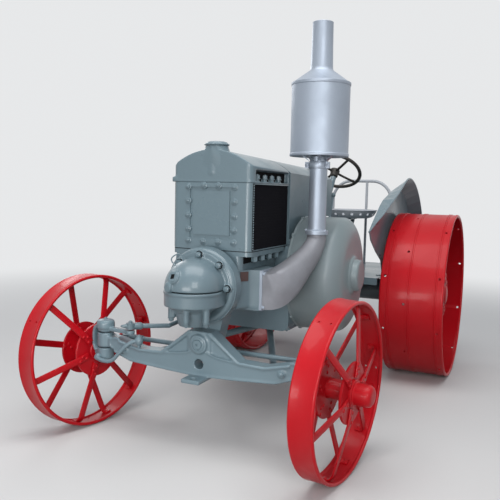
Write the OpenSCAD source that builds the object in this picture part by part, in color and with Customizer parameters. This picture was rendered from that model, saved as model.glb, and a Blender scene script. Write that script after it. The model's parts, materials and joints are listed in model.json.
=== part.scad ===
// Vintage single-cylinder tractor on spoked steel wheels.
// The front faces -Y and the driver's left is +X. The floor is z = 0.
// Every module is drawn with y = 0 at the front axle, then moved back by placed().

/* [Stance] */
// Distance between the front and rear axles
wheelbase = 1920; // [1850:5:2050]
// Middle of each front wheel from the centre line, at rest
front_track_half = 702; // [690:1:730]
// Kingpin from the centre line
kingpin_x = 576; // [565:1:582]
// Kingpin behind the middle of the beam
kingpin_y = -10; // [-15:1:0]
// Steering angle of the left wheel at rest, minus is to the driver's right
steer_left = -5.8; // [-8:0.1:0]
// Steering angle of the right wheel at rest
steer_right = -11.6; // [-14:0.1:0]
// Lean of the front wheels, tops outwards
camber = 1.8; // [0:0.1:3]

/* [Front wheels] */
// Radius of the front wheel
front_r = 400; // [380:1:415]
// Width of the front rim
front_rim_w = 115; // [100:1:125]
// Thickness of the front rim
front_rim_t = 9; // [7:0.5:12]
// Number of front spokes
front_spokes = 12; // [10:2:14]
// Width of a front spoke
front_spoke_w = 34; // [28:1:40]
// How far the left wheel stands turned forwards at rest
front_turn_left = 47; // [0:1:60]
// How far the right wheel stands turned forwards at rest
front_turn_right = 15; // [0:1:60]
// Radius of the front hub barrel
front_hub_r = 46; // [42:1:52]
// Radius of the front hub flanges
front_flange_r = 138; // [120:1:145]
// Distance between the two front hub flanges
front_flange_gap = 112; // [100:1:120]
// Length of the front hub cap beyond the outer flange
front_cap_l = 98; // [80:1:105]
// Radius of the front hub cap
front_cap_r = 50; // [44:1:54]
// Radius of the stub axle
stub_r = 24; // [20:1:28]

/* [Rear wheels] */
// Radius of the rear wheel
rear_r = 565; // [545:1:580]
// Width of the rear rim
rear_rim_w = 405; // [380:1:420]
// Outer face of the rear wheel from the centre line
rear_outer_x = 940; // [925:1:960]
// Thickness of the rear rim
rear_rim_t = 10; // [8:0.5:13]
// Number of rear spokes in each row
rear_spokes = 8; // [6:1:10]
// Radius of the rear hub barrel
rear_hub_r = 80; // [70:1:95]
// Radius of the rear hub flanges
rear_flange_r = 150; // [135:1:165]
// Radius of the rear axle shaft
rear_shaft_r = 42; // [35:1:50]

/* [Engine] */
// Height of the cylinder and crankshaft axes
engine_z = 805; // [795:1:815]
// Crankshaft behind the front axle
crank_y = 780; // [770:1:790]
// Radius of the cylinder barrel
barrel_r = 160; // [154:1:166]
// Radius of the flange at the cylinder head
head_flange_r = 186; // [182:1:192]
// Radius of the head cover's dome
cover_r = 137; // [130:1:142]
// Middle of the dome ahead of the cylinder head's flange
cover_out = 76; // [68:1:84]
// Depth of the skirt below the split of the head cover
skirt_h = 72; // [64:1:80]
// Depth of the cup below the skirt
cup_h = 96; // [88:1:104]
// Height of the split between the cover halves, below the engine axis
split_drop = 8; // [0:1:14]
// Gap between the cover halves
split_gap = 5; // [3:0.5:7]
// Half width of the crankcase
crankcase_hw = 240; // [225:1:250]
// Front face of the crankcase
crankcase_y0 = 520; // [500:1:540]
// Rear face of the crankcase
crankcase_y1 = 1080; // [1060:1:1100]
// Underside of the crankcase below the crankshaft
crankcase_below = 305; // [292:1:312]
// Top of the crankcase above the crankshaft
crankcase_above = 205; // [198:1:212]
// Radius of the crankshaft's right bearing housing
bearing_r = 150; // [140:1:152]
// End of the right bearing housing from the centre line
bearing_x = 275; // [265:1:280]

/* [Flywheel cover and belt pulley] */
// Radius of the flywheel cover
flycover_r = 320; // [312:1:328]
// Outer face of the flywheel cover from the centre line
flycover_x = 520; // [505:1:530]
// Radius of the cap in the middle of the flywheel cover
hub_cap_r = 88; // [80:1:94]
// How far that cap stands out of the cover
hub_cap_l = 46; // [38:1:54]
// Radius of the belt pulley
pulley_r = 300; // [285:1:310]
// Width of the belt pulley
pulley_w = 170; // [150:1:180]
// Inner face of the belt pulley from the centre line
pulley_x = 290; // [286:1:298]
// Radius of the crankshaft end
crank_r = 42; // [38:1:48]

/* [Radiator and tank] */
// Half width of the radiator
rad_hw = 215; // [205:1:220]
// Front face of the radiator
rad_y0 = 60; // [50:1:70]
// Rear face of the radiator
rad_y1 = 560; // [550:1:575]
// Height of the lower tank
lower_tank_h = 92; // [84:1:98]
// Height of the part with the cores
core_h = 328; // [315:1:340]
// Height of the top tank at its crown
top_tank_h = 160; // [150:1:168]
// Rear end of the fuel tank
tank_y1 = 1300; // [1250:5:1350]
// Radius of the filler cap
cap_r = 62; // [56:1:66]
// Radius of the filler neck
neck_r = 55; // [50:1:58]

/* [Exhaust] */
// Exhaust pipe from the centre line
pipe_x = 400; // [398:1:410]
// Exhaust pipe behind the front axle
pipe_y = 480; // [470:1:484]
// Radius of the exhaust pipe
pipe_r = 46; // [42:1:48]
// Joint between the duct and the pipe
duct_top_z = 1056; // [1048:1:1065]
// Underside of the muffler
muffler_z0 = 1445; // [1435:1:1455]
// Radius of the muffler
muffler_r = 152; // [145:1:158]
// Height of the muffler's straight side
muffler_h = 372; // [360:1:380]
// Height of the muffler's cone
cone_h = 65; // [55:1:75]
// Top of the exhaust stack
stack_top_z = 2118; // [2090:1:2140]

/* [Front axle] */
// Underside of the beam at its middle
beam_z0 = 362; // [355:1:370]
// Top of the beam at the pivot pin
beam_apex_z = 585; // [575:1:590]
// Depth of the beam
beam_d = 80; // [70:1:90]
// Radius of the kingpin
kingpin_r = 17; // [15:1:20]
// Radius of the kingpin boss
boss_r = 43; // [39:1:46]
// Underside of the kingpin boss
boss_z0 = 438; // [436:1:442]
// Top of the kingpin boss
boss_z1 = 512; // [504:1:520]
// Height of the pivot pin
pivot_z = 523; // [518:1:528]
// Radius of the pivot pin
pivot_r = 22; // [20:1:24]
// Radius of the radius rods
radius_rod_r = 19; // [16:1:21]
// Radius rods' ball behind the front axle
ball_y = 834; // [820:1:845]
// How far the tow plate reaches ahead of the beam
tow_reach = 84; // [70:1:95]
// Radius of the hole in the tow plate
tow_hole_r = 17; // [14:1:19]

/* [Steering] */
// Length of the steering arms
arm_l = 150; // [140:1:160]
// Radius of the tie rod
tie_r = 13; // [11:1:15]
// Height of the tie rod
tie_z = 458; // [456:1:462]
// Length of the drag link's arm and of the drop arm
drag_arm_l = 172; // [165:1:178]
// Radius of the drag link
drag_r = 12; // [10:1:14]
// Drop arm's shaft behind the front axle
drop_y = 1240; // [1225:1:1255]
// Height of the drop arm's shaft
drop_z = 782; // [778:1:790]
// Steering wheel from the centre line
wheel_x = 120; // [100:1:140]
// Steering wheel behind the front axle
wheel_y = 1660; // [1640:1:1680]
// Height of the steering wheel's hub
wheel_z = 1416; // [1400:1:1430]
// Lean of the steering column from upright
column_lean = 37; // [34:1:40]
// Radius of the steering wheel
wheel_rim_r = 190; // [175:1:205]
// Radius of the steering column
column_r = 20; // [17:1:24]
// Length of the steering column from the wheel down to its box
column_l = 720; // [700:5:740]

/* [Gearbox and platform] */
// Half width of the gearbox
gearbox_hw = 190; // [180:1:200]
// Underside of the gearbox
gearbox_z0 = 430; // [420:1:440]
// Top of the gearbox
gearbox_z1 = 900; // [890:1:910]
// Rear end of the gearbox
gearbox_y1 = 2110; // [2090:1:2130]
// Radius of the rear axle housings
housing_r = 78; // [70:1:85]
// Inner face of the fenders from the centre line
fender_x = 500; // [495:1:503]
// Thickness of the sheet metal
sheet_t = 6; // [4:0.5:8]
// Height of the platform
platform_z = 700; // [690:1:710]
// Front edge of the platform
platform_y0 = 1450; // [1430:1:1470]
// Rear edge of the platform
platform_y1 = 2400; // [2380:1:2420]
// Height of the rail behind the seat
rail_z = 1362; // [1340:1:1380]
// Half width of that rail
rail_hw = 235; // [220:1:250]
// Middle of that rail from the centre line
rail_x = 150; // [130:1:170]
// Radius of that rail's tube
rail_r = 12; // [10:1:14]
// Height of the seat
seat_z = 1075; // [1060:1:1090]
// Radius of the seat pan
seat_r = 205; // [190:1:215]
// Number of holes round the seat
seat_holes = 18; // [14:1:22]
// Rear end of the drawbar behind the front axle
drawbar_y1 = 2430; // [2410:1:2450]
// Underside of the drawbar
drawbar_z = 470; // [455:1:480]
// Thickness of the drawbar
drawbar_t = 30; // [26:1:34]
// Radius of the hole in the drawbar
draw_hole_r = 17; // [14:1:20]

/* [Hidden] */
$fn = 64;

// The bounds run from the front wheels to the rear wheels, and y = 0 is half way.
steered_reach = 28;     // how far the steered left wheel reaches past the axle's own line
front_y = -(wheelbase + rear_r - front_r - steered_reach) / 2;
grey_green = [0.50, 0.56, 0.56];
wheel_red = [0.78, 0.07, 0.08];
silver = [0.66, 0.66, 0.70];
black = [0.05, 0.05, 0.06];
dark_steel = [0.20, 0.20, 0.20];

seat_gap = 0.3;     // between bodies of one casting group that only lie against each other
pin_gap = 0.06;     // radial clearance of a turning fit
flange_t = 22;      // half thickness of the cylinder head's flange
tank_flange_t = 24;  // thickness of the lower tank's flange under the cores
rad_above = 6;      // from the barrel's top to the seam above the lower tank
crankcase_z0 = engine_z - crankcase_below;
crankcase_z1 = engine_z + crankcase_above;
rad_z1 = engine_z + barrel_r + rad_above;
rad_z0 = rad_z1 - lower_tank_h;
rad_z2 = rad_z1 + core_h;
rad_z3 = rad_z2 + top_tank_h;
neck_top = rad_z3 + 17;

// A front wheel's centre stands where its leaning rim just meets the floor.
front_axle_z = front_r * cos(camber) + front_rim_w / 2 * sin(camber);
stub_l = front_track_half - kingpin_x;
wheel_mid_w = front_flange_gap / 2;
knuckle_top = boss_z0 - 6;
arm_turn = (steer_left + steer_right) / 2;
tie_eye_h = 30;
drag_turn = -6.7;
drag_x = -kingpin_x + drag_arm_l * cos(drag_turn);
drag_front_y = kingpin_y + drag_arm_l * sin(drag_turn);
drag_arm_z = boss_z1 + 30;
drop_arm_x = -(gearbox_hw + 49);
drop_end_y = drop_y + drag_arm_l * sin(drag_turn);
drop_end_z = drop_z - drag_arm_l * cos(drag_turn);
rail_y = platform_y1 - 100;
rail_corner = 150;

module placed() translate([0, front_y, 0]) children();
module left_and_right() { children(); mirror([1, 0, 0]) children(); }

// Cylinders that run along X or Y, from a start coordinate
module rod_x(r, x0, x1) translate([x0, 0, 0]) rotate([0, 90, 0]) cylinder(r = r, h = x1 - x0);
module rod_y(r, y0, y1) translate([0, y0, 0]) rotate([-90, 0, 0]) cylinder(r = r, h = y1 - y0);

// A box from one corner to the other
module block(a, b) translate(a) cube([b[0] - a[0], b[1] - a[1], b[2] - a[2]]);

// A straight rod between two points
module rod(a, b, r) {
    d = b - a;
    turn = atan2(d[1], d[0]);
    tilt = atan2(norm([d[0], d[1]]), d[2]);
    translate(a) rotate([0, tilt, turn]) cylinder(r = r, h = norm(d));
}

// A rectangle with round corners, centred on the origin
module round_rect(w, l, r) {
    square([w - 2 * r, l], center = true);
    square([w, l - 2 * r], center = true);
    for (sx = [-1, 1], sy = [-1, 1])
        translate([sx * (w / 2 - r), sy * (l / 2 - r)]) circle(r);
}

// A box with its long edges rounded, running along Y
module round_bar_y(hw, y0, y1, z0, z1, r) {
    translate([0, y1, (z0 + z1) / 2]) rotate([90, 0, 0])
        linear_extrude(y1 - y0) round_rect(2 * hw, z1 - z0, r);
}

module crankcase() color(grey_green) placed() {
    difference() {
        union() {
            round_bar_y(crankcase_hw, crankcase_y0, crankcase_y1,
                crankcase_z0, crankcase_z1, 40);
            translate([0, crank_y, engine_z]) rod_x(bearing_r, -bearing_x, 0);
            translate([0, crank_y, engine_z]) rod_x(crank_r, -pulley_x - pulley_w - 12, 0);
        }
        // the step that the back of the radiator stands in
        block([-crankcase_hw - 1, crankcase_y0 - 1, rad_z1 - seat_gap],
            [crankcase_hw + 1, rad_y1 + seat_gap, crankcase_z1 + 1]);
    }
}

jacket_hw = barrel_r + 8;
exhaust_y0 = 130;
exhaust_y1 = 300;
exhaust_z0 = engine_z - 125;
exhaust_z1 = rad_z0 - seat_gap;
exhaust_face_x = 235;

module cylinder_block() color(grey_green) placed() {
    translate([0, 0, engine_z]) {
        rod_y(barrel_r, -flange_t, crankcase_y0);
        rod_y(head_flange_r, -flange_t, flange_t);
    }
    // the water jacket that the barrel runs up into
    block([-barrel_r + 1, rad_y0, engine_z], [barrel_r - 1, crankcase_y0 - 20, rad_z0]);
    // the exhaust port's flat on the left
    block([barrel_r - 90, exhaust_y0, exhaust_z0], [exhaust_face_x, exhaust_y1, exhaust_z1]);
}

// The head cover: a dome over a skirt with a cup below it, split level
split_z = engine_z - split_drop;
cover_back = -flange_t - seat_gap;
cover_plate_t = 20;
cup_top_r = 90;
module head_cover_upper() color(grey_green) placed() intersection() {
    translate([0, cover_back, engine_z]) rotate([90, 0, 0]) rotate_extrude() {
        square([cover_r, cover_out]);
        square([head_flange_r - 22, cover_plate_t]);
        translate([0, cover_out]) intersection() {
            circle(cover_r);
            square(cover_r);
        }
    }
    block([-300, -400, split_z + split_gap / 2], [300, 0, engine_z + 300]);
}
module head_cover_lower() color(grey_green) placed() difference() {
    top = split_z - split_gap / 2;
    skirt_z = top - skirt_h;
    union() {
        block([-cover_r, cover_back - cover_out, skirt_z], [cover_r, cover_back, top]);
        translate([0, cover_back - cover_out, 0]) {
            translate([0, 0, skirt_z]) cylinder(r = cover_r, h = skirt_h);
            translate([0, 0, skirt_z - 26]) cylinder(r1 = cup_top_r, r2 = cover_r - 6, h = 27);
            translate([0, 0, skirt_z - cup_h])
                cylinder(r1 = cup_top_r - 24, r2 = cup_top_r, h = cup_h - 20);
        }
    }
    block([-cover_r - 1, cover_back, skirt_z - cup_h - 1], [cover_r + 1, 200, top + 1]);
}

case_hw = 150;
panel_t = 32;
core_x = rad_hw - 5;
core_edge = 6;
core_fins = 12;
panel_hw = 118;
module rad_plan(grow, y0, y1, z0, z1) {
    translate([0, (y0 + y1) / 2, z0])
        linear_extrude(z1 - z0) round_rect(2 * (rad_hw + grow), y1 - y0, 28);
}
module radiator_case() color(grey_green) placed() {
    difference() {
        rad_plan(0, rad_y0, rad_y1, rad_z1, rad_z2);
        left_and_right() block([case_hw, rad_y0 + panel_t, rad_z1 + core_edge],
            [rad_hw + 1, rad_y1 - 14, rad_z2 - core_edge]);
        // the front panel's raised frame, round a shallow recess
        block([-panel_hw, rad_y0 - 1, rad_z1 + 56], [panel_hw, rad_y0 + 7, rad_z2 - 22]);
    }
    block([-panel_hw + 18, rad_y0 + 1, rad_z1 + 74], [panel_hw - 18, rad_y0 + 8, rad_z2 - 40]);
}
module radiator_core() {
    block([case_hw, rad_y0 + panel_t, rad_z1 + core_edge],
        [core_x - 14, rad_y1 - 14, rad_z2 - core_edge]);
    fin_step = (rad_y1 - rad_y0 - panel_t - 14) / core_fins;
    for (i = [0:core_fins - 1]) translate([0, rad_y0 + panel_t + i * fin_step, 0])
        block([core_x - 15, fin_step * 0.25, rad_z1 + core_edge],
            [core_x, fin_step * 0.75, rad_z2 - core_edge]);
}
module radiator_core_left() color(black) placed() radiator_core();
module radiator_core_right() color(black) placed() mirror([1, 0, 0]) radiator_core();

// The crown of the tank and hood: a wide arc across, a little lower at the back
crown_r = 330;
crown_fall = 1.7;
module crown() translate([0, rad_y0, rad_z3 - crown_r]) rotate([-crown_fall, 0, 0])
    rod_y(crown_r, -rad_y0, tank_y1 + rad_y0);
module radiator_top_tank() color(grey_green) placed() {
    difference() {
        intersection() {
            rad_plan(0, rad_y0, rad_y1, rad_z2, rad_z3);
            crown();
        }
        // the slot with the core's top nuts
        left_and_right() block([rad_hw - 30, rad_y0 + 52, rad_z2 + 7],
            [rad_hw + 1, rad_y1 - 20, rad_z2 + 62]);
    }
    left_and_right() for (y = [rad_y0 + 95 : 90 : rad_y1 - 60])
        translate([rad_hw - 17, y, rad_z2 + 1]) cylinder(r = 13, h = 24);
    translate([0, rad_y0 + neck_r - 3, rad_z2 + 40]) cylinder(r = neck_r, h = neck_top - rad_z2 - 40);
}
module radiator_lower_tank() color(grey_green) placed() difference() {
    union() {
        rad_plan(jacket_hw - rad_hw, rad_y0, crankcase_y0 - 20, rad_z0, rad_z1);
        rad_plan(0, rad_y0, crankcase_y0 - 5, rad_z1 - tank_flange_t, rad_z1);
        left_and_right() for (y = [rad_y0 + 95 : 90 : crankcase_y0 - 60])
            translate([rad_hw - 22, y, rad_z1 - tank_flange_t - 22]) cylinder(r = 13, h = 24);
    }
    translate([0, 0, engine_z]) rod_y(barrel_r + seat_gap, 0, rad_y1);
}
module filler_cap() color(grey_green) placed()
    translate([0, rad_y0 + neck_r - 3, neck_top]) {
        cylinder(r = cap_r, h = 16);
        translate([0, 0, 15]) cylinder(r1 = cap_r, r2 = cap_r - 12, h = 8);
    }

module fuel_tank() color(grey_green) placed() intersection() {
    union() {
        block([-rad_hw, rad_y1 + seat_gap, crankcase_z1], [rad_hw, crankcase_y1, rad_z3]);
        block([-rad_hw, rad_y1 + seat_gap, crankcase_z1 + 102], [rad_hw, tank_y1, rad_z3]);
    }
    crown();
}

// The flywheel cover: a drum on the crankcase's side with a wide round lip and a hub cap
cover_lip = 140;       // width of the lip, seen from the side
cover_lip_d = 70;      // and its depth
cover_lip_steps = 6;
module flywheel_cover() color(grey_green) placed()
    translate([crankcase_hw + seat_gap, crank_y, engine_z]) rotate([0, 90, 0]) rotate_extrude() {
        depth = flycover_x - crankcase_hw;
        polygon(concat([[0, 0], [flycover_r, 0]],
            [for (i = [0:cover_lip_steps]) [flycover_r - cover_lip * (1 - cos(90 * i / cover_lip_steps)),
                depth - cover_lip_d * (1 - sin(90 * i / cover_lip_steps))]],
            [[hub_cap_r + 6, depth + 3], [hub_cap_r, depth + 8],
                [hub_cap_r, depth + hub_cap_l - 20], [hub_cap_r - 8, depth + hub_cap_l - 6],
                [hub_cap_r - 24, depth + hub_cap_l], [0, depth + hub_cap_l]]));
    }

module belt_pulley() color(grey_green) placed()
    translate([-pulley_x - pulley_w, crank_y, engine_z]) rotate([0, 90, 0]) difference() {
        rotate_extrude() {
            translate([crank_r + pin_gap, 0]) square([60, pulley_w]);
            translate([crank_r + pin_gap, pulley_w * 0.55])
                square([pulley_r - crank_r - 8, 24]);
            translate([pulley_r - 16, 0]) square([16, pulley_w]);
        }
    }

duct_t = 14;
duct_stages = [  // x, y, z, radius, tilt from upright, turn from +X: a fat elbow that narrows
    [exhaust_face_x + 46, exhaust_y0 + 75, engine_z - 26, 90, 88, 20],
    [exhaust_face_x + 75, exhaust_y0 + 118, engine_z - 1, 81, 74, 52],
    [pipe_x - 66, pipe_y - 165, engine_z + 39, 75, 62, 66],
    [pipe_x - 39, pipe_y - 94, engine_z + 79, 66, 50, 66],
    [pipe_x - 8, pipe_y - 45, duct_top_z - 82, 55, 24, 72],
    [pipe_x, pipe_y, duct_top_z - 40, 50, 0, 0]];
module duct_slab(s) translate([s[0], s[1], s[2]]) rotate([0, s[4], s[5]])
    cylinder(r = s[3], h = 2, $fn = 32);
module exhaust_duct() color(silver) placed() {
    block([exhaust_face_x, exhaust_y0, exhaust_z0],
        [exhaust_face_x + duct_t, exhaust_y1, exhaust_z1]);
    hull() {
        block([exhaust_face_x + duct_t - 1, exhaust_y0 + 6, exhaust_z0 + 6],
            [exhaust_face_x + duct_t, exhaust_y1 - 6, exhaust_z1 - 6]);
        duct_slab(duct_stages[0]);
    }
    for (i = [0:len(duct_stages) - 2]) hull() {
        duct_slab(duct_stages[i]);
        duct_slab(duct_stages[i + 1]);
    }
    translate([pipe_x, pipe_y, duct_top_z - 40]) cylinder(r = pipe_r + 4, h = 32);
    translate([pipe_x, pipe_y, duct_top_z - 8]) cylinder(r = pipe_r + 12, h = 8);
}

module exhaust_pipe() color(silver) placed() translate([pipe_x, pipe_y, duct_top_z]) {
    cylinder(r = pipe_r + 12, h = 8);
    cylinder(r = pipe_r, h = muffler_z0 - duct_top_z);
    translate([0, 0, muffler_z0 - duct_top_z - 62]) cylinder(r = pipe_r + 12, h = 40);
}
module muffler() color(silver) placed() translate([pipe_x, pipe_y, muffler_z0]) {
    cylinder(r = muffler_r, h = muffler_h);
    translate([0, 0, muffler_h]) cylinder(r1 = muffler_r, r2 = 58, h = cone_h);
    translate([0, 0, muffler_h + cone_h])
        cylinder(r1 = 58, r2 = 52, h = stack_top_z - muffler_z0 - muffler_h - cone_h);
}

module axle_bracket() color(grey_green) placed() {
    difference() {
        translate([0, beam_d / 2 + 88, 0]) rotate([90, 0, 0]) linear_extrude(86)
            polygon([[-48, pivot_z - 38], [48, pivot_z - 38],
                [98, engine_z - 110], [-98, engine_z - 110]]);
        translate([0, 0, engine_z]) rod_y(barrel_r + seat_gap, 0, 400);
    }
    translate([0, 0, pivot_z]) rod_y(pivot_r, -beam_d / 2 - 6, beam_d / 2 + 2);
}

// One half of the beam's outline, from the middle outwards: x, then z. It ends in the boss's wall.
beam_end = kingpin_x - kingpin_r - 8;
beam_hole_r = 24;
beam_half = [[0, beam_z0], [200, beam_z0 + 10], [400, beam_z0 + 22],
    [beam_end - 35, boss_z0 - 3], [beam_end, boss_z0 + 6],
    [beam_end, boss_z1 - 14], [480, 488], [345, 456], [215, 460], [62, beam_apex_z],
    [0, beam_apex_z]];
module axle_beam() color(grey_green) placed() difference() {
    union() {
        left_and_right() translate([0, beam_d / 2, 0]) rotate([90, 0, 0])
            linear_extrude(beam_d) polygon(beam_half);
        left_and_right() translate([kingpin_x, kingpin_y, boss_z0])
            cylinder(r = boss_r, h = boss_z1 - boss_z0);
        // the disc round the pivot pin
        translate([0, 0, pivot_z]) rod_y(46, -beam_d / 2 - 9, beam_d / 2);
        // the tow plate below the front edge
        block([-50, -beam_d / 2 - tow_reach, beam_z0 - 14], [50, beam_d / 2, beam_z0 + 6]);
    }
    // the shallow panels either side of the pivot, under their flanges
    left_and_right() translate([0, -beam_d / 2 + 9, 0]) rotate([90, 0, 0]) linear_extrude(20)
        polygon([[60, pivot_z + 26], [72, pivot_z + 30], [176, 470], [176, 448], [60, 470]]);
    translate([0, 0, beam_z0 + 62]) rod_y(beam_hole_r, -beam_d, beam_d);
    left_and_right() translate([kingpin_x, kingpin_y, boss_z0 - 1])
        cylinder(r = kingpin_r + pin_gap, h = boss_z1 - boss_z0 + 2);
    translate([0, 0, pivot_z]) rod_y(pivot_r + seat_gap, -beam_d, beam_d);
    translate([0, -beam_d / 2 - tow_reach + 34, beam_z0 - 20]) cylinder(r = tow_hole_r, h = 60);
}

// A knuckle in its own frame: kingpin on Z at the origin, stub axle along +X
module knuckle_core() {
    translate([0, 0, knuckle_top - 4]) cylinder(r = kingpin_r, h = boss_z1 + 44 - knuckle_top);
    translate([0, 0, front_axle_z - 44]) cylinder(r = boss_r, h = knuckle_top - front_axle_z + 44);
    translate([0, 0, front_axle_z + sin(camber) * stub_l]) rotate([0, 90 + camber, 0])
        cylinder(r = stub_r, h = stub_l + wheel_mid_w + 12);
    // the hub and the cone on top of the kingpin
    translate([0, 0, boss_z1 + 6]) cylinder(r = boss_r - 2, h = 38);
    translate([0, 0, boss_z1 + 43]) cylinder(r1 = boss_r - 2, r2 = boss_r - 17, h = 22);
}
// The arm to the tie rod: back from the kingpin, then up to its pin. turn is measured from +Y.
module tie_arm(turn) rotate([0, 0, turn]) {
    block([-17, 0, knuckle_top - 24], [17, arm_l, knuckle_top - 4]);
    translate([0, arm_l, knuckle_top - 24]) cylinder(r = 22, h = tie_z - knuckle_top - tie_eye_h / 2 + 19);
    translate([0, arm_l, knuckle_top - 4]) cylinder(r = 9, h = tie_z + tie_eye_h / 2 - knuckle_top + 6);
}
module at_kingpin(side) placed() translate([side * kingpin_x, kingpin_y, 0]) children();

module knuckle_left() color(grey_green) at_kingpin(1) {
    rotate([0, 0, steer_left]) knuckle_core();
    tie_arm(arm_turn);
}
module knuckle_right() color(grey_green) at_kingpin(-1) {
    rotate([0, 0, steer_right]) mirror([1, 0, 0]) knuckle_core();
    tie_arm(arm_turn);
    // the arm to the drag link
    rotate([0, 0, drag_turn]) {
        block([0, -16, boss_z1 + 10], [drag_arm_l, 16, drag_arm_z]);
        translate([drag_arm_l, 0, boss_z1 + 10]) cylinder(r = 22, h = drag_arm_z - boss_z1 - 10);
    }
}

module front_wheel() {
    hw = front_rim_w / 2;
    difference() {
        union() {
            rotate([0, 90, 0]) rotate_extrude($fn = 96) {
                translate([front_r - front_rim_t, -hw + 6]) square([front_rim_t, 2 * hw - 12]);
                for (s = [-1, 1]) translate([front_r - 9, s * (hw - 8)]) circle(8);
            }
            rod_x(front_hub_r, -wheel_mid_w - 8, wheel_mid_w + 8);
            for (s = [-1, 1]) rod_x(front_flange_r, s * wheel_mid_w - 6, s * wheel_mid_w + 6);
            rod_x(front_cap_r, wheel_mid_w, wheel_mid_w + front_cap_l - 14);
            translate([wheel_mid_w + front_cap_l - 15, 0, 0]) rotate([0, 90, 0])
                cylinder(r1 = front_cap_r, r2 = front_cap_r - 14, h = 15);
            for (i = [0:front_spokes - 1]) rotate([i * 360 / front_spokes, 0, 0]) {
                side = i % 2 == 0 ? 1 : -1;
                spoke_l = front_r - front_rim_t / 2 - front_hub_r;
                lean = atan2(side * (wheel_mid_w - hw * 0.35), spoke_l);
                translate([side * wheel_mid_w, 0, front_hub_r]) rotate([0, -lean, 0])
                    translate([-4, -front_spoke_w / 2, -4]) cube([8, front_spoke_w, spoke_l / cos(lean)]);
            }
        }
        rod_x(stub_r + pin_gap, -wheel_mid_w - 20, wheel_mid_w + 24);
    }
}
module at_front_wheel(side, steer) at_kingpin(side) rotate([0, 0, steer])
    translate([side * stub_l, 0, front_axle_z]) rotate([0, side * camber, 0])
        children();
module front_wheel_left() color(wheel_red) at_front_wheel(1, steer_left)
    rotate([front_turn_left, 0, 0]) front_wheel();
module front_wheel_right() color(wheel_red) at_front_wheel(-1, steer_right)
    mirror([1, 0, 0]) rotate([front_turn_right, 0, 0]) front_wheel();

tie_a = [kingpin_x - arm_l * sin(arm_turn), kingpin_y + arm_l * cos(arm_turn), tie_z];
tie_b = [-kingpin_x - arm_l * sin(arm_turn), kingpin_y + arm_l * cos(arm_turn), tie_z];
module tie_rod() color(grey_green) placed() difference() {
    union() {
        rod(tie_b, tie_a, tie_r);
        for (p = [tie_a, tie_b]) translate(p) cylinder(r = 22, h = tie_eye_h, center = true);
    }
    for (p = [tie_a, tie_b]) translate(p) cylinder(r = 9 + pin_gap, h = 60, center = true);
}

link_eye_x = drop_arm_x - 26;
link_z = drag_arm_z + 22;
link_bend = [link_eye_x, 110, link_z - 8];
module drag_link() color(grey_green) placed() difference() {
    union() {
        rod([drag_x, drag_front_y, link_z], link_bend, drag_r);
        translate(link_bend) sphere(drag_r + 0.4);
        rod(link_bend, [link_eye_x, drop_end_y, drop_end_z], drag_r);
        translate([drag_x, drag_front_y, drag_arm_z + 7]) cylinder(r = 22, h = 30);
        translate([0, drop_end_y, drop_end_z]) rod_x(22, link_eye_x - 10, link_eye_x + 10);
    }
    translate([0, drop_end_y, drop_end_z]) rod_x(10 + pin_gap, link_eye_x - 30, link_eye_x + 30);
}
module drop_arm() color(grey_green) placed() {
    translate([0, drop_y, drop_z]) {
        rod_x(18, drop_arm_x, -gearbox_hw + 20);
        rod_x(34, drop_arm_x - 10, drop_arm_x + 10);
        rotate([drag_turn, 0, 0]) {
            block([drop_arm_x - 10, -18, -drag_arm_l], [drop_arm_x + 10, 18, 0]);
            translate([0, 0, -drag_arm_l]) rod_x(22, drop_arm_x - 10, drop_arm_x + 10);
            translate([0, 0, -drag_arm_l]) rod_x(10, link_eye_x - 14, drop_arm_x);
        }
    }
}

rod_start = [368, beam_d / 2 - 8, 402];
ball_z = 470;
ball_r = 38;
module radius_rod() difference() {
    rod(rod_start, [22, ball_y - 60, ball_z - 3], radius_rod_r);
    block([0, -beam_d, 0], [kingpin_x, beam_d / 2 + seat_gap, engine_z]);
}
module radius_rod_left() color(grey_green) placed() radius_rod();
module radius_rod_right() color(grey_green) placed() mirror([1, 0, 0]) radius_rod();
module radius_ball() color(grey_green) placed() {
    translate([0, ball_y, ball_z - 8]) cylinder(r = ball_r, h = crankcase_z0 - ball_z + 8);
    block([-55, ball_y - 60, crankcase_z0 - 12], [55, ball_y + 60, crankcase_z0]);
}

wheel_shaft_r = 10;
shaft_top = 60;       // from the steering wheel's hub down to the column's end
shaft_foot = 150;     // and down to the end of the wheel's shaft
module along_column() translate([wheel_x, wheel_y, wheel_z]) rotate([-column_lean, 0, 0]) children();
module steering_column() color(grey_green) placed() {
    difference() {
        along_column() translate([0, 0, -column_l]) cylinder(r = column_r, h = column_l - shaft_top);
        along_column() translate([0, 0, -shaft_foot - 10])
            cylinder(r = wheel_shaft_r + pin_gap, h = shaft_foot);
        block([-400, 0, 0], [400, 3000, gearbox_z1]);
    }
    // the steering box that the column stands in
    box_y = wheel_y - (wheel_z - gearbox_z1) * tan(column_lean);
    block([wheel_x - 80, box_y - 45, gearbox_z1], [wheel_x + 60, box_y + 135, gearbox_z1 + 90]);
}
module steering_wheel() color(dark_steel) placed() along_column() {
    rotate_extrude() translate([wheel_rim_r - 13, 0]) circle(13);
    translate([0, 0, -50]) cylinder(r = 28, h = 62);
    translate([0, 0, -shaft_foot]) cylinder(r = wheel_shaft_r, h = shaft_foot - 30);
    for (i = [0:3]) rotate([0, 0, i * 90 + 45]) translate([10, 0, -8])
        rotate([0, 90 - 2, 0]) cylinder(r = 8, h = wheel_rim_r - 24);
}

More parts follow.
